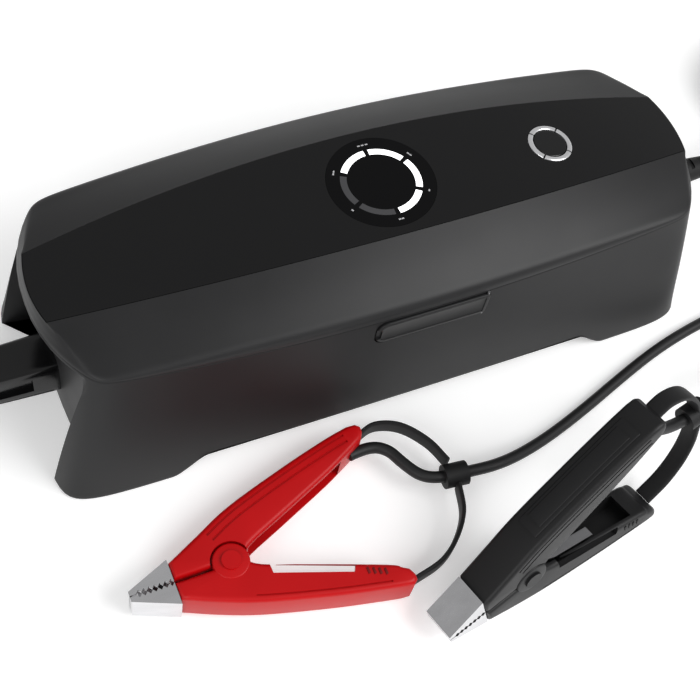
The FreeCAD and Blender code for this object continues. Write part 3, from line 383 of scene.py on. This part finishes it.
# Each clamp is drawn in its own frame and then placed. The frame's origin is the pivot: u runs towards
# the tail, v to the upper handle and w along the pin. The red clamp lies flat and isn't turned.
RED_AT = Vector((-87.0, -92.0, 9.0))
BLACK_AT = Vector((7.0, -128.0, 17.42))
BLACK_TURN = (Matrix.Rotation(math.radians(14.5), 3, "Z") @ Matrix.Rotation(math.radians(-13.5), 3, "Y")
              @ Matrix.Rotation(math.radians(77.0), 3, "X"))


def red_place(p):
    """A point of the red clamp's frame in the charger's frame."""
    return tuple(RED_AT + Vector(p))


def black_place(p):
    """A point of the black clamp's frame in the charger's frame."""
    return tuple(BLACK_AT + BLACK_TURN @ Vector(p))


COLLAR_REACH = 5.5


def through(place, at, degrees):
    """A point before and a point after a collar, so that the lead runs straight through it."""
    along = Vector((math.cos(math.radians(degrees)), math.sin(math.radians(degrees)), 0)) * COLLAR_REACH
    middle = Vector((at[0], at[1], 0))
    return [place(middle + along), place(middle - along)]


BLACK_LEAD = [(186, -61.6, 4.6), (171, -66.5, 3.4), (157, -74.5, 4.8), (145, -82, 10.5), (132, -88.5, 19.5),
              (119, -94.2, 29.5), (105, -99.8, 39)]
BLACK_LEAD += through(black_place, (83.2, 8.0), -8.0)
BLACK_LEAD += [(65.5, -109.4, 47.6), black_place((56.6, 26.4, 0))]

main_points = MAIN_IN + coil + MAIN_OUT
main_lead = lead_curve("main_lead", main_points, MAIN_DIAMETER)
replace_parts(main_lead, "main_lead_start", "main_lead_coil", "main_lead_end")
red_lead = lead_curve("red_lead_line", RED_LEAD, SINGLE_DIAMETER)
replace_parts(red_lead, "red_lead")
black_lead = lead_curve("black_lead_line", BLACK_LEAD, SINGLE_DIAMETER)
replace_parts(black_lead, "black_lead")


def splitter():
    """The moulded yoke: a smooth body that tapers to the leads at both ends."""
    x0, x1, y, z = 186.0, 212.0, -58.0, 4.6
    rings = []
    for x, half_y, half_z, power in (
            (x0, 4.6, 2.9, 3.0), (x0 + 0.6, 5.6, 3.3, 3.0), (x0 + 3, 6.8, 4.0, 3.4), (x0 + 7, 7.4, 4.4, 3.8),
            (x0 + 15, 7.3, 4.4, 3.8), (x0 + 19, 6.2, 4.2, 3.2), (x0 + 22, 5.0, 4.0, 2.6),
            (x1 - 0.6, 4.3, 3.8, 2.2), (x1, 3.9, 3.5, 2.1)):
        rings.append([(x, y + a, z + b) for a, b in oval(half_y, half_z, power)])
    yoke = piece("lead_yoke", *capped(rings), RUBBER)
    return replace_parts(yoke, "lead_splitter")


yoke = splitter()


# ---------------------------------------------------------------- case shells
# Where the outline has points: shares of the half length along a side, and y across an end. They are
# closer together at the arch's ramps, at the recess's edges and at the corners.
SIDE_HALF = [0.05, 0.1, 0.15, 0.2, 0.25, 0.3, 0.35, 0.4, 0.45, 0.5, 0.55, 0.58, 0.596, 0.606, 0.616, 0.64,
             0.665, 0.687, 0.697, 0.707, 0.73, 0.77, 0.81, 0.85, 0.88, 0.905, 0.925, 0.945, 0.96, 0.975,
             0.99, 1.0]
SIDE = [-f for f in reversed(SIDE_HALF)] + [0.0] + SIDE_HALF
END_FIXED = [0.0, 7.0, 14.0, 20.0, 25.0, 29.5, 32.6, 33.6, 34.3, 35.0, 36.0]
END_SHARES = [0.25, 0.5, 0.7, 0.85, 0.94, 0.98]
END_BREAK = 36.0
LEG_INNER, ARCH_TOP_HALF, ARCH_HEIGHT, FOOT_LEVEL = 92.0, 80.0, 10.0, 0.6
RECESS_HALF, RECESS_TOP, END_WALL, END_WALL_BOW = 34.0, 63.2, 121.6, 3.0
END_POWER = 2.3
SPLIT = 64.8
RIM_LEVEL, RIM_CORNER_Y = 67.0, 38.9


END_COUNT = 2 * (len(END_FIXED) - 1 + len(END_SHARES)) + 1


def end_ys(corner_y):
    """The y values across an end, as far as its corners at corner_y."""
    upper = END_FIXED[1:] + [END_BREAK + (corner_y - END_BREAK) * q for q in END_SHARES]
    return [-y for y in reversed(upper)] + [0.0] + upper


def outline(levels, inset=0.0):
    """The case's outline as (x, y) pairs. levels is a number, or one number for each pair."""
    count = 2 * len(SIDE) + 2 * END_COUNT
    levels = np.full(count, float(levels)) if np.isscalar(levels) else np.array(levels, float)
    raw, k = [], 0

    def size(level):
        """Half length, corner x, half width, corner y and the corners' sharpness at a level."""
        s = level / RIM_LEVEL
        return (134.5 - 6.3 * s - inset, 131.5 - 18.0 * s - inset, 49.2 - 3.5 * s - inset,
                48.4 - 9.6 * s - inset, 15.0 + 23.0 * s * s)

    for side in (-1, 1):
        for f in (SIDE if side < 0 else reversed(SIDE)):
            half_x, corner_x, half_y, corner_y, power = size(levels[k])
            raw.append((f * corner_x, side * (half_y - (half_y - corner_y) * f * f), levels[k]))
            k += 1
        for index in range(END_COUNT):
            half_x, corner_x, half_y, corner_y, power = size(levels[k])
            y = end_ys(corner_y)[index] * -side
            x = -side * (half_x - (half_x - corner_x) * (abs(y) / corner_y) ** END_POWER)
            raw.append((x, y, levels[k]))
            k += 1
    made = []
    for x, y, level in raw:
        half_x, corner_x, half_y, corner_y, power = size(level)
        low, high = 0.85, 1.0  # the share of (x, y) that lies on the rounded outline is between these
        for _ in range(24):
            s = (low + high) / 2
            a, b = abs(s * x), abs(s * y)
            over = ((a / (half_x - (half_x - corner_x) * (b / corner_y) ** END_POWER)) ** power
                    + (b / (half_y - (half_y - corner_y) * (a / corner_x) ** 2)) ** power)
            if over > 1:
                high = s
            else:
                low = s
        made.append((low * x, low * y))
    return made


def step(value, low, high):
    """Rises smoothly from 0 at low to 1 at high."""
    t = min(1.0, max(0.0, (value - low) / (high - low)))
    return t * t * (3 - 2 * t)


def recessed(x, y, z):
    """The x of a point of an end, pushed back to the end wall where the recess is."""
    across = 1 - step(abs(y), RECESS_HALF - 0.5, RECESS_HALF + 0.9)
    inside = across * (1 - step(z, RECESS_TOP - 0.4, RECESS_TOP + 0.3))
    back = END_WALL - END_WALL_BOW * (y / RECESS_HALF) ** 2
    if abs(x) > back:
        x = math.copysign(abs(x) + (back - abs(x)) * inside, x)
    return x


def underside(x):
    """Height of the bottom edge: the feet, the ramps and the arch."""
    rise = step(LEG_INNER + 1.0 - abs(x), 0.0, LEG_INNER - ARCH_TOP_HALF + 2.0)
    return FOOT_LEVEL + (ARCH_HEIGHT - FOOT_LEVEL) * rise


def spine(x):
    """The nearest x on the line along the middle that flat faces are drawn from."""
    return max(-100.0, min(100.0, x))


def lower_case():
    """The lower shell: its underside, its walls with the end recesses, and a flat top under the cover."""
    bottom_points = outline(0.0)
    bottoms = [underside(x) for x, y in bottom_points]
    top = SPLIT - 0.04
    levels = [0.0, 0.25, 0.8, 2.0, 5.0, 9.0, 14.0, 20.0, 27.0, 34.0, 41.0, 47.0, 52.0, 56.5, 60.0,
              62.2, 62.8, 63.1, 63.5, 64.0, 64.6, top]
    rings = []
    flat = outline(0.0, 0.6)
    for share in (0.0, 0.35, 0.7, 0.92, 1.0):
        ring = []
        for (x, y), low in zip(flat, bottoms):
            x = recessed(x, y, 0.0)
            ring.append((spine(x) + (x - spine(x)) * share, y * share, low))
        rings.append(ring)
    for level in levels:
        heights = [low + level * (top - low) / top for low in bottoms]
        inset = 0.35 if level == 0.0 else (0.1 if level in (0.25, top) else 0.0)
        ring = [(recessed(x, y, z), y, z) for (x, y), z in zip(outline(heights, inset), heights)]
        rings.append(ring)
    for share in (0.97, 0.6, 0.0):
        ring = []
        for x, y in outline(top, 1.0):
            ring.append((spine(x) + (x - spine(x)) * share, y * share, top if share > 0.9 else top - 0.3))
        rings.append(ring)
    made = piece("case_shell", *stack(rings), CASE)
    pocket = flap_loop(FLAP_GAP)
    made = carve(made, [capped([[(x, y, z) for x, z in pocket] for y in (OUT_OF_FRONT, FLAP_BACK)]),
                        cuboid(*USB_A_OPENING), cuboid(*USB_C_OPENING)])
    wells = []
    for x, y, radius, top_of_well in (SCREW_WELL, FOOT_WELL):
        wells += [round_bar(sx * x, sy * y, radius, -2.0, top_of_well) for sx in (-1, 1) for sy in (-1, 1)]
    made = carve(made, wells)
    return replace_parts(made, "lower_case")


FLAP_LEFT, FLAP_RIGHT, FLAP_LOW, FLAP_HIGH, FLAP_BACK = -18.7, 25.3, 52.2, 63.6, -44.6
FLAP_MIDDLE = (FLAP_LOW + FLAP_HIGH) / 2
FLAP_GAP, OUT_OF_FRONT = 0.45, -52.0
# x from and to, y from and to, z from and to
USB_A_OPENING = (3.85, 18.15, -50.0, -30.0, 54.95, 61.65)
USB_C_OPENING = (-11.55, -2.45, -50.0, -33.0, 54.95, 58.35)
# x, y, radius and top of the four wells for the screws and the four for the rubber feet
SCREW_WELL, FOOT_WELL = (100, 25, 3.3, 48.0), (112, 36.5, 6.15, 2.45)


def flap_loop(grow, corner=4.2, hinge_corner=1.6):
    """The flap's outline seen from the front, as (x, z) pairs."""
    x0, x1 = FLAP_LEFT - grow, FLAP_RIGHT + grow
    z0, z1 = FLAP_LOW - grow, min(FLAP_HIGH + grow, 64.1)
    loop = []
    for cx, cz, radius, start in ((x0 + corner, z0 + corner, corner, 180),
                                  (x1 - hinge_corner, z0 + hinge_corner, hinge_corner, 270),
                                  (x1 - hinge_corner, z1 - hinge_corner, hinge_corner, 0),
                                  (x0 + corner, z1 - corner, corner, 90)):
        for k in range(9):
            angle = math.radians(start + 90 * k / 8)
            loop.append((cx + radius * math.cos(angle), cz + radius * math.sin(angle)))
    return loop


CROWN_TOP, CROWN_DROP, CROWN_HALF = 80.5, 9.64, 124.5
PANEL_THICK, LENS_HOLE, BUTTON_HOLE = 1.4, 20.0, 8.85
BUTTON_X = 70.0


def crown(x):
    """Height of the cover's middle line."""
    return CROWN_TOP - CROWN_DROP * (x / CROWN_HALF) ** 2


def panel_outline(inset=0.0):
    """The gloss panel's outline with a point for each of the case outline's points."""
    half_x, corner_x, half_y, corner_y = 127.0 - inset, 124.8 - inset, 23.6 - inset, 14.4 - inset
    made = []
    share = [y / RIM_CORNER_Y for y in end_ys(RIM_CORNER_Y)]
    for side in (-1, 1):
        for f in (SIDE if side < 0 else reversed(SIDE)):
            made.append((f * corner_x, side * (half_y - (half_y - corner_y) * f * f)))
        for part in share:
            made.append((-side * (half_x - (half_x - corner_x) * part ** 2), part * corner_y * -side))
    return made


RIDGE_TOP, RIDGE_DROP, RIDGE_HALF, RIDGE_BLEND = 68.9, 3.0, 113.0, 3.4
GROOVE_DEPTH, LEDGE_WIDTH, COVER_DEPTH = 1.5, 1.8, 3.4


def top_cover():
    """The cover: a short wall, a rounded ridge, a bevel up to the gloss strip and the seat under it."""
    low = SPLIT + 0.04
    ridge = [RIDGE_TOP - RIDGE_DROP * min(1.0, abs(x) / RIDGE_HALF) ** 2 for x, y in outline(66.0)]
    corner = [np.array([x, y, z]) for (x, y), z in zip(outline(ridge), ridge)]
    below = [z - min(2.4, 0.75 * (z - low)) for z in ridge]
    wall = [np.array([x, y, z]) for (x, y), z in zip(outline(below), below)]
    panel = [np.array([x, y, crown(x)]) for x, y in panel_outline()]
    start = [c + (p - c) * min(0.4, RIDGE_BLEND / np.linalg.norm(p - c)) for c, p in zip(corner, panel)]
    rings = [[(x, y, low) for x, y in outline(low, 2.4)], [(x, y, low) for x, y in outline(low, 0.12)],
             [(x, y, low + 0.14) for x, y in outline(low + 0.14)]]
    for k in range(8):
        u = k / 7
        rings.append([tuple((1 - u) ** 2 * a + 2 * u * (1 - u) * c + u * u * b)
                      for a, c, b in zip(wall, corner, start)])
    for u in (0.2, 0.4, 0.6, 0.8, 0.97):
        bulge = np.array([0, 0, 0.35 * math.sin(math.pi * u)])
        rings.append([tuple(a + (b - a) * u + bulge) for a, b in zip(start, panel)])
    rings.append([tuple(p) for p in panel])
    inner = panel_outline(0.12)
    rings.append([(x, y, crown(x) - 0.15) for x, y in inner])
    rings.append([(x, y, crown(x) - GROOVE_DEPTH) for x, y in inner])
    ledge = panel_outline(LEDGE_WIDTH)
    rings.append([(x, y, crown(x) - GROOVE_DEPTH) for x, y in ledge])
    rings.append([(x, y, crown(x) - COVER_DEPTH) for x, y in ledge])
    made = piece("cover_shell", *stack(rings, around=True), COVER)
    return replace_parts(made, "top_cover")


def gloss_panel():
    """The glossy strip along the crown, with the display's and the button's holes."""
    rings = []
    for depth, shares in ((PANEL_THICK, (0.0, 0.4, 0.8, 1.0)), (0.2, (1.0,)),
                          (0.0, (0.995, 0.97, 0.8, 0.6, 0.4, 0.2, 0.0))):
        for share in shares:
            ring = []
            for x, y in panel_outline(0.14):
                x = spine(x) + (x - spine(x)) * share
                ring.append((x, y * share, crown(x) - depth))
            rings.append(ring)
    made = piece("gloss_strip", *stack(rings), GLOSS)
    carve(made, [round_bar(0, 0, LENS_HOLE, 60.0, 90.0, 96),
                 round_bar(BUTTON_X, 0, BUTTON_HOLE, 60.0, 90.0, 64)])
    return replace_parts(made, "gloss_panel")


lower_case()
top_cover()
gloss_panel()


# ---------------------------------------------------------------- flap
FLAP_FRONT, FIELD_INSET, FIELD_FLOOR = -46.8, 1.4, -46.5
NOTCH_LENGTH, NOTCH_HALF, NOTCH_FLOOR = 2.0, 2.6, -46.0


def usb_flap():
    """The flap: a rounded plate with a shallow field in its face and a finger notch at its left end."""
    rings = rounded_slab(flap_loop(0.0), FLAP_FRONT, -45.0, 0.55, 4)
    rings = [[(x, y, z) for x, z, y in ring] for ring in rings]
    made = piece("flap_plate", *capped(rings), BLACK, body="usb_flap")
    field = rounded_slab(inset_loop(flap_loop(0.0), FIELD_INSET), -47.6, FIELD_FLOOR, 0.2, 2)
    carve(made, [capped([[(x, y, z) for x, z, y in ring] for ring in field])])
    carve(made, [cuboid(FLAP_LEFT - 1, FLAP_LEFT + NOTCH_LENGTH, -48, NOTCH_FLOOR,
                        FLAP_MIDDLE - NOTCH_HALF, FLAP_MIDDLE + NOTCH_HALF)])
    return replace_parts(made, "usb_flap")


usb_flap()


# ---------------------------------------------------------------- display and button
MARK_LIFT, MARK_THICK = 0.03, 0.06


def disc_mark(name, centre_x, centre_y, loop):
    """A thin printed mark that lies on the crowned display."""
    rings = [[(centre_x + a, centre_y + b, crown(centre_x + a) + lift) for a, b in loop]
             for lift in (MARK_LIFT - MARK_THICK, MARK_LIFT)]
    made = piece(name, *capped(rings), MARK)
    return made


def bar_loop(length, width, degrees, at=(0.0, 0.0)):
    """A turned rectangle as a flat loop."""
    c, s = math.cos(math.radians(degrees)), math.sin(math.radians(degrees))
    loop = []
    for a, b in ((-1, -1), (1, -1), (1, 1), (-1, 1)):
        x, y = a * length / 2, b * width / 2
        loop.append((at[0] + x * c - y * s, at[1] + x * s + y * c))
    return loop


MARK_RADIUS = 17.2
for k in range(6):
    degrees = 90 + 60 * k
    x, y = MARK_RADIUS * math.cos(math.radians(degrees)), MARK_RADIUS * math.sin(math.radians(degrees))
    if k == 0:
        for side in (-1, 0, 1):
            disc_mark("mark_top_%d" % (side + 1), x + 1.5 * side, y, bar_loop(1.0, 0.5, 0))
    else:
        for j in range(1 + k % 2):
            offset = 1.1 * (j - (k % 2) / 2)
            disc_mark("mark_%d_%d" % (k, j), x, y, bar_loop(0.55, 0.9, degrees, (
                -offset * math.sin(math.radians(degrees)), offset * math.cos(math.radians(degrees)))))

BUTTON_TURN = Matrix.Rotation(math.atan(2 * CROWN_DROP * BUTTON_X / CROWN_HALF ** 2), 3, "Y")


def button_place(p):
    """A point of the button's frame, which leans with the crown, in the charger's frame."""
    return tuple(Vector((BUTTON_X, 0, crown(BUTTON_X))) + BUTTON_TURN @ Vector(p))


def button_ring():
    """Four arcs of a bright ring with a rounded section and thin gaps between them."""
    section = [(6.75, -1.6), (6.75, 0.05), (6.95, 0.26), (7.5, 0.36), (8.1, 0.32), (8.5, 0.14), (8.68, -0.1),
               (8.68, -1.6)]
    arcs = []
    for quarter in range(4):
        start, end = 90 * quarter + 47.2, 90 * quarter + 132.8
        rings = []
        for k in range(17):
            angle = math.radians(start + (end - start) * k / 16)
            rings.append([button_place((r * math.cos(angle), r * math.sin(angle), z)) for r, z in section])
        arcs.append(capped(rings))
    made = piece("button_trim", *merged(arcs), SILVER)
    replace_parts(made, "button_ring")


button_ring()


# ---------------------------------------------------------------- end arm
def end_arm():
    """A tapered bar with rounded edges, with a pocket and a groove under it in each side."""
    middle = 22.75
    rings = []
    # x, half width, half height and squareness of each section, from the end wall outward
    for x, half_y, half_z, power in (
            (-119.6, 8.45, 9.2, 7.0), (-124.0, 8.45, 9.2, 7.0), (-140.0, 8.1, 8.9, 6.0),
            (-158.0, 7.5, 8.4, 5.0), (-162.4, 7.2, 8.0, 4.4), (-164.3, 6.3, 7.1, 4.0),
            (-165.0, 4.8, 5.6, 3.6)):
        rings.append([(x, a, middle + b) for a, b in oval(half_y, half_z, power, 56)])
    made = piece("arm_bar", *capped(rings), BLACK_GLOSS)
    cutters = []
    for side in (-1, 1):
        near, far = sorted((side * 6.4, side * 20.0))
        cutters.append(cuboid(-162.0, -124.0, near, far, 15.9, 16.7))
        cutters.append(cuboid(-156.0, -131.0, near, far, 19.4, 27.2))
    carve(made, cutters)
    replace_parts(made, "end_arm")


end_arm()
soften("lead_gland", 0.3)
soften("rubber_feet", 0.4)

# ---------------------------------------------------------------- clamps
UPPER_OUTER = [(-20.2, 6.9), (-8.0, 13.0), (6.0, 19.8), (29.0, 27.4), (48.0, 32.8), (58.0, 35.0)]
UPPER_INNER = [(58.6, 26.9), (51.6, 23.2), (43.6, 19.3), (23.1, 10.3), (9.6, 4.4), (4.6, 0.6)]
LOWER_OUTER = [(-20.2, 6.9), (-8.0, 12.4), (6.0, 17.6), (29.0, 23.8), (46.0, 27.6), (54.0, 29.2)]
LOWER_INNER = [(55.4, 22.4), (50.5, 19.5), (23.0, 9.2), (9.6, 4.2), (4.6, 0.6)]
UPPER_CHANNEL = [(7.5, 3.0), (12.0, 16.0), (29.0, 23.6), (46.0, 28.6), (52.0, 29.4), (54.0, 26.0),
                 (44.6, 16.0), (23.1, 4.0)]
LOWER_CHANNEL = [(7.5, 3.0), (12.0, 14.5), (29.0, 20.4), (44.0, 24.2), (49.0, 25.0), (50.5, 22.0),
                 (43.6, 13.0), (23.1, 3.0)]
LOWER_WINDOW = [(12.0, 5.2), (40.0, 15.8), (38.6, 18.4), (12.0, 9.0)]
SPRING_LEG = [(2.0, 3.0), (14.0, 13.0), (32.0, 19.2), (32.2, 18.4), (14.4, 12.2), (2.9, 2.4)]
CLAMP_HALF, CHANNEL_HALF = 7.5, 5.3  # half widths of a handle and of the hollow in it
BOSS, BOSS_GAP = 6.6, 0.7
TONGUE, TONGUE_GAP = 4.6, 0.15
SPRING_HALF = 2.0
RIB_COUNT, RIB_START, RIB_STEP, RIB_SLOPE = 4, (43.2, 19.6), 1.9, 0.42


def mirror(points, side):
    """The points as they are for the upper handle (side 1), or mirrored for the lower one (side -1)."""
    return [(a, side * b) for a, b in points]


def handle_loop(side):
    """One handle's smooth outline, with a rounded tail."""
    outer, inner = (UPPER_OUTER, UPPER_INNER) if side > 0 else (LOWER_OUTER, LOWER_INNER)
    run = [tuple(p) for p in smooth_line(outer, 5)]
    tail = [(61.6, 34.9), (63.2, 33.4), (63.1, 31.2), (61.6, 28.6)] if side > 0 else \
        [(57.0, 29.4), (58.5, 28.2), (58.6, 26.2), (57.4, 23.6)]
    back = [tuple(p) for p in smooth_line(inner, 5)]
    return mirror(run + tail + back + [(-20.2, 0.6)], side)


def strip_loop(side, start, end, near, far):
    """A long strip that follows a handle's outer edge, between two depths under it."""
    outer = UPPER_OUTER if side > 0 else LOWER_OUTER
    line = [p for p in smooth_line(outer, 6) if start <= p[0] <= end]
    loops = []
    for depth in (near, far):
        moved = []
        for k, p in enumerate(line):
            ahead = line[min(k + 1, len(line) - 1)] - line[max(k - 1, 0)]
            ahead = ahead / np.linalg.norm(ahead)
            moved.append((p[0] + ahead[1] * depth, p[1] - ahead[0] * depth))
        loops.append(moved)
    return mirror(loops[0] + loops[1][::-1], side)


def slab(loop, low, high):
    """Two rings of a flat loop, at two distances along the pin."""
    return [[(a, b, w) for a, b in loop] for w in (low, high)]


def disc(radius, low, high):
    """A plain disc about the pivot, between two distances along the pin."""
    return slab(arc_loop(radius, 48), low, high)


def beside(w, low, high):
    """The two distances along the pin, on the side that w gives, in rising order."""
    return sorted((w * low, w * high))


def clamp(colour, place, look, groove_look, body_lower):
    """One clamp's handles, bosses, ribs and spring. Returns the pieces by name."""
    made = {}

    def add(name, rings, finish, body, cuts=()):
        some = piece("%s_clamp_%s" % (colour, name), *capped(mapped(rings, place)), finish, body=body)
        if cuts:
            carve(some, [capped(mapped(c, place)) for c in cuts])
        made[name] = some
        return some

    def cut(target, *shapes):
        carve(target, [capped(mapped(rings, place)) for rings in shapes])

    # the upper handle, with its tongue between the lower handle's bosses
    reach = TONGUE - TONGUE_GAP
    grooves = []
    for near, far in ((2.3, 3.1), (5.0, 5.8)):
        for w in (-1, 1):
            sides = beside(w, CLAMP_HALF - 0.7, CLAMP_HALF + 2)
            grooves.append(slab(strip_loop(1, -6.0, 55.0, near, far), *sides))
    upper = add("grip_upper", rounded_slab(handle_loop(1), -CLAMP_HALF, CLAMP_HALF, 1.7, 4), look,
                "charger", grooves)
    cut(upper, slab(UPPER_CHANNEL, -CHANNEL_HALF, CHANNEL_HALF))
    cut(upper, disc(BOSS + BOSS_GAP, reach, CLAMP_HALF + 1), disc(BOSS + BOSS_GAP, -CLAMP_HALF - 1, -reach))
    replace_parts(upper, "%s_clamp_handle_upper" % colour)
    add("tongue", rounded_slab(arc_loop(BOSS, 48), -reach, reach, 0.4, 2), look, "charger")
    ridge = strip_loop(1, 4.0, 54.0, -0.55, 1.6)
    add("ridge_upper", rounded_slab(ridge, -4.6, 4.6, 0.5, 3), look, "charger")
    panel = strip_loop(1, 7.0, 51.0, -0.95, 0.6)
    add("panel_upper", rounded_slab(panel, -3.2, 3.2, 0.4, 3), look, "charger")

    # the lower handle
    lower = add("grip_lower", rounded_slab(handle_loop(-1), -CLAMP_HALF, CLAMP_HALF, 1.7, 4), look,
                body_lower, [slab(mirror(LOWER_CHANNEL, -1), -CHANNEL_HALF, CHANNEL_HALF)])
    cut(lower, slab(mirror(LOWER_WINDOW, -1), -9, 9))
    cut(lower, disc(BOSS + BOSS_GAP, -TONGUE - TONGUE_GAP, TONGUE + TONGUE_GAP))
    groove = strip_loop(-1, 2.0, 50.0, 1.9, 2.5)
    cut(lower, *[slab(groove, *beside(w, CLAMP_HALF - 0.6, CLAMP_HALF + 2)) for w in (-1, 1)])
    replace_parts(lower, "%s_clamp_handle_lower" % colour)
    for w, letter in ((-1, "a"), (1, "b")):
        sides = beside(w, TONGUE + TONGUE_GAP, CLAMP_HALF + 0.25)
        add("boss_%s" % letter, rounded_slab(arc_loop(BOSS, 48), *sides, 0.7, 3), look, body_lower)
        # small ribs past the window
        for k in range(RIB_COUNT):
            u = RIB_START[0] + RIB_STEP * k
            v = -(RIB_START[1] + RIB_SLOPE * RIB_STEP * k)
            rib = [(u - 0.45, v - 1.3), (u + 0.45, v - 1.1), (u + 0.45, v + 1.3), (u - 0.45, v + 1.1)]
            sides = beside(w, CLAMP_HALF - 0.6, CLAMP_HALF + 0.35)
            add("rib_%s%d" % (letter, k), rounded_slab(rib, *sides, 0.2, 2), groove_look, body_lower)

    # the spring: its loop and upper leg stay, its lower leg goes with the lower handle
    circle = [[(x, y, w) for x, y in arc_loop(r, 32)]
              for r, w in ((4.4, -SPRING_HALF), (4.4, SPRING_HALF), (3.5, SPRING_HALF), (3.5, -SPRING_HALF))]
    points, faces = stack(mapped(circle, place), around=True)
    loop = piece("%s_clamp_spring_loop" % colour, points, faces, STEEL)
    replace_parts(loop, "%s_clamp_spring" % colour)
    add("spring_upper", slab(SPRING_LEG, -SPRING_HALF, SPRING_HALF), STEEL, "charger")
    add("spring_lower", slab(mirror(SPRING_LEG, -1), -SPRING_HALF, SPRING_HALF), STEEL, body_lower)
    return made


red_parts = clamp("red", red_place, RED, RED_DEEP, "red_clamp_lower")
black_parts = clamp("black", black_place, BLACK, RUBBER, "black_clamp_lower")


def band_rings(points, place, width=7.0, thick=1.8, per=7):
    """A flat band with rounded edges along a line in the clamp's plane."""
    line = smooth_line(points, per)
    section = [(thick / 2 * math.copysign(abs(math.cos(a)) ** 0.6, math.cos(a)),
                width / 2 * math.copysign(abs(math.sin(a)) ** 0.45, math.sin(a)))
               for a in [2 * math.pi * k / 20 for k in range(20)]]
    rings = []
    for k, p in enumerate(line):
        ahead = line[min(k + 1, len(line) - 1)] - line[max(k - 1, 0)]
        ahead = ahead / np.linalg.norm(ahead)
        rings.append([place((p[0] + ahead[1] * a, p[1] - ahead[0] * a, b)) for a, b in section])
    return rings


RED_STRAP = [(61.0, 31.6), (70.0, 34.4), (79.5, 30.8), (86.8, 21.6), (90.4, 11.4)]
RED_STRAP_END = [(90.2, 1.4), (87.0, -9.0), (80.0, -17.6), (71.0, -23.6), (58.6, -26.6)]
BLACK_STRAP = [(61.0, 31.6), (69.0, 33.4), (76.6, 29.6), (81.4, 22.0), (83.4, 13.2)]
BLACK_STRAP_END = [(83.2, 3.2), (81.0, -7.0), (76.0, -16.0), (68.4, -22.6), (58.6, -26.0)]


def straps(colour, place, strap, strap_end, pin_look):
    """The strap's two halves, and the finish of the small CAD parts that stay in view."""
    upper = piece("%s_clamp_band_upper" % colour, *capped(band_rings(strap, place)), RUBBER)
    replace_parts(upper, "%s_clamp_strap_upper" % colour)
    lower = piece("%s_clamp_band_lower" % colour, *capped(band_rings(strap_end, place)), RUBBER, body=None)
    start = Vector(place((strap_end[0][0], strap_end[0][1], 0))) * MM
    end = Vector(place((strap_end[-1][0] + 4, strap_end[-1][1], 0))) * MM
    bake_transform(lower)
    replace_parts(lower, "%s_clamp_strap_lower" % colour)
    soften("%s_clamp_collar" % colour, 0.7, 3)
    for name in ("jaw_upper", "jaw_lower"):
        soften("%s_clamp_%s" % (colour, name), 0.18)
    soften("%s_clamp_pivot_pin" % colour, 0.4, 3)
    NODES["%s_clamp_pivot_pin" % colour].data.materials[0] = pin_look


straps("red", red_place, RED_STRAP, RED_STRAP_END, RED)
straps("black", black_place, BLACK_STRAP, BLACK_STRAP_END, BLACK)

# ---------------------------------------------------------------- floor and light
FLOOR = material("floor_white", (0.88, 0.88, 0.88), 0.8, mottle=0.01, glow=0.3, shine=0.1)
floor_mesh = bpy.data.meshes.new("floor")
floor_mesh.from_pydata([(-4, -4, 0), (4, -4, 0), (4, 4, 0), (-4, 4, 0)], [], [(0, 1, 2, 3)])
floor_mesh.materials.append(FLOOR)
floor = bpy.data.objects.new("floor", floor_mesh)
floor.location = (0, 0, -0.0002)
scene.collection.objects.link(floor)

scene.view_settings.view_transform = "Standard"
SKY = [(0.0, 0.75), (1.0, 0.5), (0.06, 0.7), (0.3, 0.5), (0.6, 0.42)]  # height and brightness
world = bpy.data.worlds.new("studio")
scene.world = world
world.use_nodes = True
sky = world.node_tree
direction = sky.nodes.new("ShaderNodeTexCoord")
split = sky.nodes.new("ShaderNodeSeparateXYZ")
sky.links.new(direction.outputs["Generated"], split.inputs["Vector"])
sky_ramp = sky.nodes.new("ShaderNodeValToRGB")
sky.links.new(split.outputs["Z"], sky_ramp.inputs["Fac"])
for index, (position, value) in enumerate(SKY):
    stops = sky_ramp.color_ramp.elements
    stop = stops[index] if index < 2 else stops.new(position)
    stop.position = position
    stop.color = (value, value, value, 1.0)
sky.links.new(sky_ramp.outputs["Color"], sky.nodes["Background"].inputs["Color"])
sky.nodes["Background"].inputs["Strength"].default_value = 1.0


def area_light(name, at, target, size, power):
    """A rectangular lamp that faces its target. Places are in metres."""
    data = bpy.data.lights.new(name, "AREA")
    data.shape = "RECTANGLE"
    data.size, data.size_y = size
    data.energy = power
    lamp = bpy.data.objects.new(name, data)
    scene.collection.objects.link(lamp)
    lamp.location = at
    lamp.rotation_euler = (Vector(target) - Vector(at)).to_track_quat("-Z", "Y").to_euler()
    return lamp


area_light("key", (0.9, -0.9, 1.3), (0.05, 0, 0.05), (1.2, 1.0), 22.0)
area_light("fill", (-1.0, -0.8, 0.9), (0, 0, 0.04), (0.9, 0.9), 7.0)
